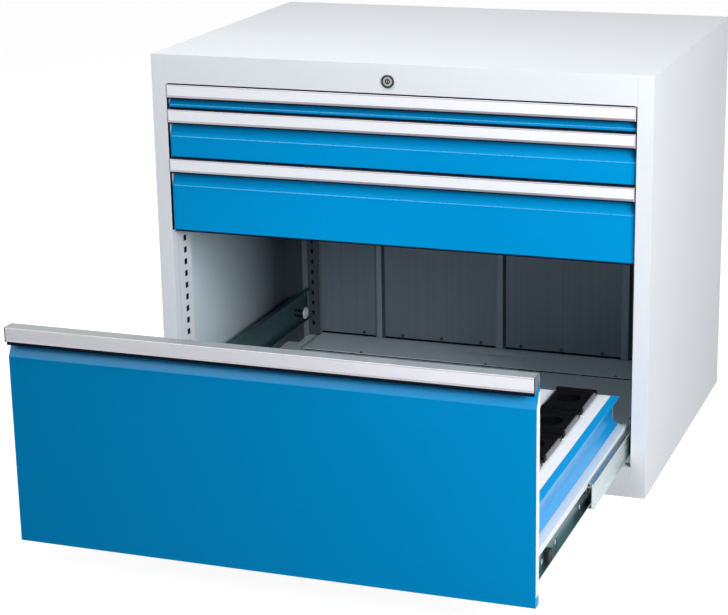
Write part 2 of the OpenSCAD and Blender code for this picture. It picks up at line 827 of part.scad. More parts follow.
// Rollers of the middle rails: the front one in the drawer rail, the rear one in the cabinet rail
module middle_rollers(i) {
    z_front = run_top(i) - rail_t - roller_gap - roller_r(i);
    z_rear = slide_z(i) + rail_t + roller_gap + rear_r(i);
    y_rear = y_mid_end + tab_len / 2;
    color(steel) pair() {
        pin_x(x_run_web + 1.5, x_run - 0.5, y_roller, z_front, roller_r(i));
        pin_x(x_run - 1, x_mid_face, y_roller, z_front, axle_r);
        pin_x(x_mid_web, x_web - 0.7, y_rear, z_rear, min(rear_r(i), tab_len / 2 - 0.5));
    }
}

// Right side rail of the tool pull-out: folded sheet with a recessed web and a flat head
module side_rail() {
    z0 = z_ledge;
    z1 = z_deck;
    x_tip = x_head - side_flange;
    along_y(y_liner, y_side_end) polygon([
        [x_foot, z0], [x_side_web, z0 + foot_h], [x_side_web, z1 - frame_t - head_fold_h],
        [x_head, z1 - frame_t], [x_head, z1], [x_tip, z1], [x_tip, z1 - frame_t],
        [x_head - 1.6 * frame_t, z1 - frame_t], [x_side_web - frame_t, z1 - 0.5 * frame_t - head_fold_h],
        [x_side_web - frame_t, z0 + foot_h - 0.5 * frame_t], [x_foot - 1.5 * frame_t, z0]
    ]);
}

module tool_side_rails() {
    color(blue) pulled_out() pair() side_rail();
}

// Right ledge of the tool pull-out: shelf, leg on the drawer rail and outer lip
module ledge() {
    z1 = z_ledge;
    along_y(y_liner, ledge_end) polygon([
        [x_lip - ledge_w, z1], [x_lip, z1], [x_lip, z1 - lip_h], [x_run, z1 - lip_h], [x_run, z1 - frame_t],
        [x_side, z1 - frame_t], [x_side, run_z(0) + rail_t], [x_side - frame_t, run_z(0) + rail_t],
        [x_side - frame_t, z1 - frame_t], [x_lip - ledge_w, z1 - frame_t]
    ]);
}

module tool_ledges() {
    color(grey) pulled_out() pair() ledge();
}

// The tool pull-out stands open by its full travel
module pulled_out() {
    translate([0, -travel, 0]) children();
}

module half_pulled_out() {
    translate([0, -travel / 2, 0]) children();
}

module tool_rear_rail() {
    color(grey) pulled_out() block(
        [-x_side_web, y_side_end, z_ledge],
        [x_side_web, y_side_end + frame_t, z_deck - 6]);
}

// Carrier number k from the back: a bridge that stands on the ledges
function row_end(k) = y_rows - k * row_pitch;
function row_start(k) = row_end(k) - row_pitch + row_gap;
function row_mid(k) = (row_end(k) + row_start(k)) / 2;
function column_x(c) = -x_insert + c * column_pitch;

module carrier(k) {
    y0 = row_start(k);
    y1 = row_end(k);
    difference() {
        union() {
            block([-x_deck, y0, z_deck - frame_t], [x_deck, y1, z_deck]);
            pair() block([x_deck - frame_t, y0, z_ledge], [x_deck, y1, z_deck]);
            for (y = [y0, y1 - frame_t]) {
                block([-x_deck, y, z_deck - carrier_fold], [x_deck, y + frame_t, z_deck]);
            }
        }
        if (k < rows) {
            for (c = [0:columns - 1]) {
                translate([column_x(c), row_mid(k), z_deck])
                    cube([2 * hole_r, 2 * hole_r, 4 * frame_t], true);
            }
        }
    }
}

module tool_carriers() {
    color(grey) pulled_out() for (k = [0:rows]) carrier(k);
}

// Repeats a piece at every socket of the tool pull-out
module at_sockets() {
    pulled_out() for (k = [0:rows - 1], c = [0:columns - 1]) {
        translate([column_x(c), row_mid(k), z_deck]) children();
    }
}

// Upright clips on both sides of every insert
module tool_insert_clips() {
    color(steel) at_sockets() pair()
        block([insert_w / 2, -clip_len / 2, 0], [base_w / 2, clip_len / 2, clip_h]);
}

// Black insert with shoulders at its ends, ribs across its top, a sleeve and a round tool socket
module tool_insert() {
    rib_w = 4;
    rib_pitch = 7;
    rib_count = 3;
    y_end = insert_d / 2;
    y_shoulder = clip_len / 2 + 0.5;
    shoulder = base_w / 2 - 1;
    difference() {
        union() {
            block([-insert_w / 2, -y_end, 0], [insert_w / 2, y_end, insert_h]);
            for (s = [0, 1]) mirror([0, s, 0]) {
                block([-shoulder, y_shoulder, 0], [shoulder, y_end, insert_h]);
                for (k = [1:rib_count]) {
                    translate([-insert_w / 2, y_end - k * rib_pitch, insert_h - 1])
                        cube([insert_w, rib_w, rib_h + 1]);
                }
            }
            translate([0, 0, -sleeve_drop]) cylinder(h = sleeve_drop + 1, r = sleeve_r);
        }
        translate([0, 0, -sleeve_drop - 1]) cylinder(h = sleeve_drop + insert_h + rib_h + 2, r = socket_r);
    }
}

module tool_inserts() {
    color(black) at_sockets() tool_insert();
}

// Drawer rails of the tool pull-out, with a row of holes low in the web
module tool_rails() {
    z_hole = run_z(0) + rail_t + 1;
    color(zinc) pulled_out() pair() difference() {
        drawer_rail(0, ledge_end - 2);
        for (y = rail_holes) {
            block([x_side - 1, y_liner + y - rail_hole_l / 2, z_hole],
                [x_run_web + 1, y_liner + y + rail_hole_l / 2, z_hole + rail_hole_h]);
        }
    }
}

module tool_buffers() {
    color(black) pulled_out() pair() block(
        [x_run_web, y_buffer, run_z(0) + rail_t],
        [x_run - 2, y_buffer + buffer_len, run_z(0) + rail_t + buffer_h]);
}

left_side_panel();
right_side_panel();
top_panel();
back_panel();
base_panel();
bottom_rail();
rear_floor_cover();
base_stiffener();
front_uprights();
rear_uprights();
floor_screws();
back_rivets();
cabinet_rails();
support_rollers();
rail_screws();
stop_bolts();
lock_housing();
lock_plug();
lock_cam();
lock_link();
lock_bar();
for (d = [1:3]) {
    front(bay(d));
    grip(bay(d));
    label(bay(d));
    end_caps(bay(d));
    tray(bay(d));
    drawer_rails(bay(d));
    middle_rails(bay(d));
    middle_rollers(bay(d));
}
pulled_out() front(0);  // tool_front
color(grey) pulled_out() liner(0);  // tool_front_liner
pulled_out() grip(0);  // tool_grip
pulled_out() label(0);  // tool_label
pulled_out() end_caps(0);  // tool_end_caps
tool_side_rails();
tool_ledges();
tool_rear_rail();
tool_carriers();
tool_insert_clips();
tool_inserts();
tool_rails();
half_pulled_out() middle_rails(0);  // tool_middle_rails
half_pulled_out() middle_rollers(0);  // tool_rollers
tool_buffers();
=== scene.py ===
import json
import math

import bmesh
import bpy
from mathutils import Matrix, Vector


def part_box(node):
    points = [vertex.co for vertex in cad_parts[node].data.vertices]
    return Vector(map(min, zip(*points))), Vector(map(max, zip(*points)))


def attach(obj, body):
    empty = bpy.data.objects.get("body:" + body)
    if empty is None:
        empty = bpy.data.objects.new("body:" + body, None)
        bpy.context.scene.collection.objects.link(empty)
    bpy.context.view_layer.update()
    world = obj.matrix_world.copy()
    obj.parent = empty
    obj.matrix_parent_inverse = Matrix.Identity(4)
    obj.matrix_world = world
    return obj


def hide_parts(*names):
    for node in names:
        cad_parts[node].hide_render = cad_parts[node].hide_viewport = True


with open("model.json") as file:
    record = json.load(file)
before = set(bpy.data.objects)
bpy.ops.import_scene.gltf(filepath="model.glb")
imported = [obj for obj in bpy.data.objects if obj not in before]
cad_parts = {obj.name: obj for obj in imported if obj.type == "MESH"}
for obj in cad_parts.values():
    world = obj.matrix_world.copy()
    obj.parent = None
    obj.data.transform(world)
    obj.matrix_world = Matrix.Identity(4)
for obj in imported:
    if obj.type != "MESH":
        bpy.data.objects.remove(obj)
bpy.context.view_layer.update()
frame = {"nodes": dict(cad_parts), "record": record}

nodes = frame["nodes"]
scene = bpy.context.scene
scene.view_settings.view_transform = "Standard"


# Camera at the photograph's viewing angle
cameraView = {
    "place": (1.27589, -3.98757, 1.47999),
    "azimuth": 20.3202,  # degrees
    "elevation": 16.5192,
    "roll": -1.0714,
    "focalPixels": 2051.31,
    "imageWidth": 728,
    "sensor": 36.0,
}


def placeCamera(v):
    az, el, roll = (math.radians(v[k]) for k in ("azimuth", "elevation", "roll"))
    ahead = Vector((-math.sin(az) * math.cos(el), math.cos(az) * math.cos(el), -math.sin(el)))
    right = Vector((math.cos(az), math.sin(az), 0))
    up = right.cross(ahead)
    tiltedRight = math.cos(roll) * right + math.sin(roll) * up
    tiltedUp = -math.sin(roll) * right + math.cos(roll) * up
    data = bpy.data.cameras.new("photoCamera")
    data.sensor_width = v["sensor"]
    data.lens = v["focalPixels"] / v["imageWidth"] * v["sensor"]
    data.clip_end = 50
    camera = bpy.data.objects.new("photoCamera", data)
    turn = Matrix((tiltedRight, tiltedUp, -ahead)).transposed()
    camera.matrix_world = Matrix.Translation(v["place"]) @ turn.to_4x4()
    scene.collection.objects.link(camera)
    scene.camera = camera


placeCamera(cameraView)
print("camera placed")


# Lamps: softboxes at the right and above the open pull-out, weak fills all round, a spot into the bay
studioLamps = {
    "keyLamp": {"place": (1.9, -1.85, 1.3), "aim": (0.1, -0.4, 0.45), "size": 1.2, "watts": 50},
    "sheenLamp": {"place": (-1.3, -2.7, 1.9), "aim": (-0.1, -0.6, 0.5), "size": 1.2, "watts": 7},
    "topLamp": {"place": (-0.3, -1.02, 2.45), "aim": (0.0, -0.25, 0.7), "size": 1.6, "watts": 31},
    "rightLamp": {"place": (3.5, 1.3, 1.4), "aim": (0.5, 0.1, 0.4), "size": 2.0, "watts": 10},
    "leftLamp": {"place": (-3.5, 0.8, 1.7), "aim": (-0.5, 0.0, 0.4), "size": 2.0, "watts": 20},
    "backLamp": {"place": (2.4, 3.6, 2.4), "aim": (0.0, 0.3, 0.4), "size": 2.2, "watts": 36},
    "baySpot": {"place": (1.2, -2.1, 0.95), "aim": (-0.47, -0.05, 0.27), "cone": 16.0, "soft": 0.10,
                "watts": 26},
}


def hangLamp(name, v):
    data = bpy.data.lights.new(name, "SPOT" if "cone" in v else "AREA")
    if "cone" in v:
        data.spot_size = math.radians(v["cone"])
        data.spot_blend = 1.0
        data.shadow_soft_size = v["soft"]
    else:
        data.shape = "DISK"
        data.size = v["size"]
    data.energy = v["watts"]
    lamp = bpy.data.objects.new(name, data)
    lamp.location = v["place"]
    look = Vector(v["aim"]) - Vector(v["place"])
    lamp.rotation_euler = look.to_track_quat("-Z", "Y").to_euler()
    scene.collection.objects.link(lamp)


for lampName, lampValues in studioLamps.items():
    hangLamp(lampName, lampValues)


# World and floor: white for the camera and in reflections, plain ambient light for the rest
studioRoom = {"ambient": 0.07, "floorSize": 12.0, "floorTone": 0.35, "floorRoughness": 0.9, "floorGloss": 0.1,
              "floorLift": 0.92}


def addMath(tree, operation, a, b, clamp=False):
    node = tree.nodes.new("ShaderNodeMath")
    node.operation = operation
    node.use_clamp = clamp
    for k, v in enumerate((a, b)):
        if isinstance(v, (int, float)):
            node.inputs[k].default_value = v
        else:
            tree.links.new(v, node.inputs[k])
    return node.outputs[0]


def seenDirectly(tree):
    # 1 where a ray comes straight from the camera, a mirror or a lens
    path = tree.nodes.new("ShaderNodeLightPath")
    straight = addMath(tree, "MAXIMUM", path.outputs["Is Camera Ray"], path.outputs["Is Glossy Ray"])
    return addMath(tree, "MAXIMUM", straight, path.outputs["Is Transmission Ray"])


def makeRoom(v):
    world = bpy.data.worlds.new("studio")
    world.use_nodes = True
    scene.world = world
    tree = world.node_tree
    tree.nodes.clear()
    ambient = tree.nodes.new("ShaderNodeBackground")
    ambient.inputs["Color"].default_value = (1, 1, 1, 1)
    ambient.inputs["Strength"].default_value = v["ambient"]
    white = tree.nodes.new("ShaderNodeBackground")
    white.inputs["Color"].default_value = (1, 1, 1, 1)
    white.inputs["Strength"].default_value = 1.0
    mix = tree.nodes.new("ShaderNodeMixShader")
    out = tree.nodes.new("ShaderNodeOutputWorld")
    tree.links.new(seenDirectly(tree), mix.inputs[0])
    tree.links.new(ambient.outputs[0], mix.inputs[1])
    tree.links.new(white.outputs[0], mix.inputs[2])
    tree.links.new(mix.outputs[0], out.inputs["Surface"])

    mesh = bpy.data.meshes.new("floor")
    bm = bmesh.new()
    bmesh.ops.create_grid(bm, x_segments=1, y_segments=1, size=v["floorSize"])
    bm.to_mesh(mesh)
    bm.free()
    floor = bpy.data.objects.new("floor", mesh)
    scene.collection.objects.link(floor)
    paint = bpy.data.materials.new("paleFloor")
    paint.use_nodes = True
    tree = paint.node_tree
    shader = tree.nodes["Principled BSDF"]
    shader.inputs["Base Color"].default_value = (v["floorTone"],) * 3 + (1,)
    shader.inputs["Roughness"].default_value = v["floorRoughness"]
    shader.inputs["Specular IOR Level"].default_value = v["floorGloss"]
    glow = tree.nodes.new("ShaderNodeEmission")
    glow.inputs["Strength"].default_value = v["floorLift"]
    lift = tree.nodes.new("ShaderNodeMixShader")
    dark = tree.nodes.new("ShaderNodeEmission")
    dark.inputs["Strength"].default_value = 0.0
    both = tree.nodes.new("ShaderNodeAddShader")
    tree.links.new(seenDirectly(tree), lift.inputs[0])
    tree.links.new(dark.outputs[0], lift.inputs[1])
    tree.links.new(glow.outputs[0], lift.inputs[2])
    tree.links.new(shader.outputs[0], both.inputs[0])
    tree.links.new(lift.outputs[0], both.inputs[1])
    tree.links.new(both.outputs[0], tree.nodes["Material Output"].inputs["Surface"])
    mesh.materials.append(paint)


makeRoom(studioRoom)
print("lamps, world and floor ready")


# Shared surface effects as node groups
def startGroup(name, inputs, outputs):
    group = bpy.data.node_groups.new(name, "ShaderNodeTree")
    for label, kind, value in inputs:
        socket = group.interface.new_socket(label, in_out="INPUT", socket_type=kind)
        socket.default_value = value
    for label, kind in outputs:
        group.interface.new_socket(label, in_out="OUTPUT", socket_type=kind)
    return group, group.nodes.new("NodeGroupInput"), group.nodes.new("NodeGroupOutput")


def addNoise(tree, vector, scale, detail=3.0, roughness=0.55):
    node = tree.nodes.new("ShaderNodeTexNoise")
    node.inputs["Detail"].default_value = detail
    node.inputs["Roughness"].default_value = roughness
    tree.links.new(vector, node.inputs["Vector"])
    if isinstance(scale, (int, float)):
        node.inputs["Scale"].default_value = scale
    else:
        tree.links.new(scale, node.inputs["Scale"])
    return node.outputs["Fac"]


def addTint(tree, color, amount):
    # brightens or darkens a colour by a factor around 1
    node = tree.nodes.new("ShaderNodeMix")
    node.data_type = "RGBA"
    node.blend_type = "MULTIPLY"
    node.inputs["Factor"].default_value = 1.0
    tree.links.new(color, node.inputs["A"])
    spread = tree.nodes.new("ShaderNodeCombineColor")
    for k in range(3):
        tree.links.new(amount, spread.inputs[k])
    tree.links.new(spread.outputs[0], node.inputs["B"])
    return node.outputs["Result"]


def addBlend(tree, factor, first, second):
    node = tree.nodes.new("ShaderNodeMix")
    node.data_type = "RGBA"
    tree.links.new(factor, node.inputs["Factor"])
    tree.links.new(first, node.inputs["A"])
    tree.links.new(second, node.inputs["B"])
    return node.outputs["Result"]


def objectPlace(tree):
    return tree.nodes.new("ShaderNodeTexCoord").outputs["Object"]


coatNoise = {"grainDetail": 2.0, "cloudScale": 3.5, "cloudDetail": 4.0, "speck": 0.10, "roughSwing": 1.2}


def powderCoatGroup(n):
    # fine orange peel with soft cloudy tone over the whole sheet
    group, start, end = startGroup(
        "powderCoat",
        [("Color", "NodeSocketColor", (0.8, 0.8, 0.8, 1)), ("Grain Scale", "NodeSocketFloat", 900.0),
         ("Cloud", "NodeSocketFloat", 0.04), ("Roughness", "NodeSocketFloat", 0.42)],
        [("Color", "NodeSocketColor"), ("Roughness", "NodeSocketFloat"), ("Height", "NodeSocketFloat")])
    place = objectPlace(group)
    grain = addNoise(group, place, start.outputs["Grain Scale"], n["grainDetail"])
    cloud = addNoise(group, place, n["cloudScale"], n["cloudDetail"])
    swing = addMath(group, "MULTIPLY", addMath(group, "SUBTRACT", cloud, 0.5), start.outputs["Cloud"])
    speck = addMath(group, "MULTIPLY", addMath(group, "SUBTRACT", grain, 0.5), n["speck"])
    tone = addMath(group, "ADD", addMath(group, "ADD", swing, speck), 1.0)
    group.links.new(addTint(group, start.outputs["Color"], tone), end.inputs["Color"])
    unevenness = addMath(group, "MULTIPLY", speck, n["roughSwing"])
    rough = addMath(group, "ADD", start.outputs["Roughness"], unevenness, True)
    group.links.new(rough, end.inputs["Roughness"])
    group.links.new(grain, end.inputs["Height"])
    return group


metalNoise = {"streakDetail": 4.0, "patchScale": 22.0, "patchDetail": 3.0}


def drawnMetalGroup(n):
    # long streaks along the drawing direction of a rail or an extrusion
    group, start, end = startGroup(
        "drawnMetal",
        [("Color", "NodeSocketColor", (0.6, 0.6, 0.6, 1)), ("Stretch", "NodeSocketVector", (4, 700, 700)),
         ("Streak", "NodeSocketFloat", 0.12), ("Blotch", "NodeSocketFloat", 0.14),
         ("Roughness", "NodeSocketFloat", 0.3)],
        [("Color", "NodeSocketColor"), ("Roughness", "NodeSocketFloat"), ("Height", "NodeSocketFloat")])
    spread = group.nodes.new("ShaderNodeVectorMath")
    spread.operation = "MULTIPLY"
    group.links.new(objectPlace(group), spread.inputs[0])
    group.links.new(start.outputs["Stretch"], spread.inputs[1])
    streak = addNoise(group, spread.outputs[0], 1.0, n["streakDetail"])
    patch = addNoise(group, objectPlace(group), n["patchScale"], n["patchDetail"])
    swing = addMath(group, "MULTIPLY", addMath(group, "SUBTRACT", streak, 0.5), start.outputs["Streak"])
    blotch = addMath(group, "MULTIPLY", addMath(group, "SUBTRACT", patch, 0.5), start.outputs["Blotch"])
    tone = addMath(group, "ADD", addMath(group, "ADD", swing, blotch), 1.0)
    group.links.new(addTint(group, start.outputs["Color"], tone), end.inputs["Color"])
    rough = addMath(group, "ADD", start.outputs["Roughness"], addMath(group, "ADD", swing, blotch), True)
    group.links.new(rough, end.inputs["Roughness"])
    group.links.new(streak, end.inputs["Height"])
    return group


plasticNoise = {"grainDetail": 2.0, "scuffScale": 60.0, "scuffDetail": 6.0, "scuffRoughness": 0.7,
                "roughSwing": 0.5}


def mouldedGroup(n):
    # eroded grain of a moulded plastic with faint scuffs
    group, start, end = startGroup(
        "moulded",
        [("Color", "NodeSocketColor", (0.05, 0.05, 0.05, 1)), ("Grain Scale", "NodeSocketFloat", 1400.0),
         ("Scuff", "NodeSocketFloat", 0.4), ("Roughness", "NodeSocketFloat", 0.5)],
        [("Color", "NodeSocketColor"), ("Roughness", "NodeSocketFloat"), ("Height", "NodeSocketFloat")])
    place = objectPlace(group)
    grain = addNoise(group, place, start.outputs["Grain Scale"], n["grainDetail"])
    scuff = addNoise(group, place, n["scuffScale"], n["scuffDetail"], n["scuffRoughness"])
    swing = addMath(group, "MULTIPLY", addMath(group, "SUBTRACT", scuff, 0.5), start.outputs["Scuff"])
    tone = addMath(group, "ADD", swing, 1.0)
    group.links.new(addTint(group, start.outputs["Color"], tone), end.inputs["Color"])
    unevenness = addMath(group, "MULTIPLY", swing, n["roughSwing"])
    rough = addMath(group, "ADD", start.outputs["Roughness"], unevenness, True)
    group.links.new(rough, end.inputs["Roughness"])
    group.links.new(grain, end.inputs["Height"])
    return group


brushNoise = {"stretch": (240.0, 240.0, 1.6), "detail": 4.0}


def insideOutGroup(n):
    # one colour up to a start along an axis, one with streaks along z up to a limit, another behind that
    group, start, end = startGroup(
        "insideOut",
        [("Before", "NodeSocketColor", (0.1, 0.1, 0.1, 1)),
         ("Inside", "NodeSocketColor", (0.3, 0.3, 0.3, 1)),
         ("Outside", "NodeSocketColor", (0.8, 0.8, 0.8, 1)), ("Axis", "NodeSocketVector", (0, 1, 0)),
         ("Start", "NodeSocketFloat", -9.0), ("Limit", "NodeSocketFloat", 0.0),
         ("Brushed", "NodeSocketFloat", 0.0)],
        [("Color", "NodeSocketColor")])
    place = objectPlace(group)
    along = group.nodes.new("ShaderNodeVectorMath")
    along.operation = "DOT_PRODUCT"
    group.links.new(place, along.inputs[0])
    group.links.new(start.outputs["Axis"], along.inputs[1])
    spread = group.nodes.new("ShaderNodeVectorMath")
    spread.operation = "MULTIPLY"
    spread.inputs[1].default_value = n["stretch"]
    group.links.new(place, spread.inputs[0])
    streak = addMath(group, "SUBTRACT", addNoise(group, spread.outputs[0], 1.0, n["detail"]), 0.5)
    tone = addMath(group, "ADD", addMath(group, "MULTIPLY", streak, start.outputs["Brushed"]), 1.0)
    behind = addMath(group, "GREATER_THAN", along.outputs["Value"], start.outputs["Limit"])
    started = addMath(group, "GREATER_THAN", along.outputs["Value"], start.outputs["Start"])
    middle = addTint(group, start.outputs["Inside"], tone)
    front = addBlend(group, started, start.outputs["Before"], middle)
    group.links.new(addBlend(group, behind, front, start.outputs["Outside"]), end.inputs["Color"])
    return group


def rearShadeToneGroup():
    # painted shade on the inner faces only: an inner colour that turns to a near black one towards the rear
    group, start, end = startGroup(
        "rearShadeTone",
        [("Color", "NodeSocketColor", (0.8, 0.8, 0.8, 1)),
         ("Inner", "NodeSocketColor", (0.6, 0.6, 0.6, 1)),
         ("Rear Shade", "NodeSocketColor", (0.1, 0.1, 0.1, 1)), ("Near", "NodeSocketFloat", -0.3),
         ("Far", "NodeSocketFloat", 0.3), ("Reach", "NodeSocketFloat", 0.5),
         ("Back", "NodeSocketFloat", 0.366)],
        [("Color", "NodeSocketColor")])
    split = group.nodes.new("ShaderNodeSeparateXYZ")
    group.links.new(objectPlace(group), split.inputs[0])
    depth = addMath(group, "SUBTRACT", split.outputs["Y"], start.outputs["Near"])
    span = addMath(group, "SUBTRACT", start.outputs["Far"], start.outputs["Near"])
    ramp = addMath(group, "DIVIDE", depth, span, True)
    aside = addMath(group, "ABSOLUTE", split.outputs["X"], 0.0)
    within = addMath(group, "LESS_THAN", aside, start.outputs["Reach"])
    ahead = addMath(group, "LESS_THAN", split.outputs["Y"], start.outputs["Back"])
    started = addMath(group, "GREATER_THAN", split.outputs["Y"], start.outputs["Near"])
    inside = addMath(group, "MULTIPLY", started, addMath(group, "MULTIPLY", within, ahead))
    inner = addBlend(group, ramp, start.outputs["Inner"], start.outputs["Rear Shade"])
    group.links.new(addBlend(group, inside, start.outputs["Color"], inner), end.inputs["Color"])
    return group


effects = {"powderCoat": powderCoatGroup(coatNoise), "drawnMetal": drawnMetalGroup(metalNoise),
           "moulded": mouldedGroup(plasticNoise), "insideOut": insideOutGroup(brushNoise),
           "rearShadeTone": rearShadeToneGroup()}
print("surface effects ready")


# Limits between the tones of one piece, shared colours and the stretch of drawn grain
toneLimit = {
    "wall": 0.3662,  # between the inner and the outer face of the back panel
    "flange": 0.3552,  # just before the slotted flange of a rear upright
    "web": sum(corner.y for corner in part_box("rear_uprights")) / 2,
    "liner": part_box("tool_front")[1].z - 0.029,
    "sideNear": -0.31,
    "sideFar": 0.22,
    "sideReach": 0.5018,  # within the thickness of a side panel
}
paintGrey = (0.775, 0.81, 0.855, 1)
paintBlue = (0.0, 0.305, 0.69, 1)
gripGrain = (3.0, 900.0, 900.0)
railGrain = (260.0, 3.0, 260.0)
turnedGrain = (60.0, 900.0, 60.0)


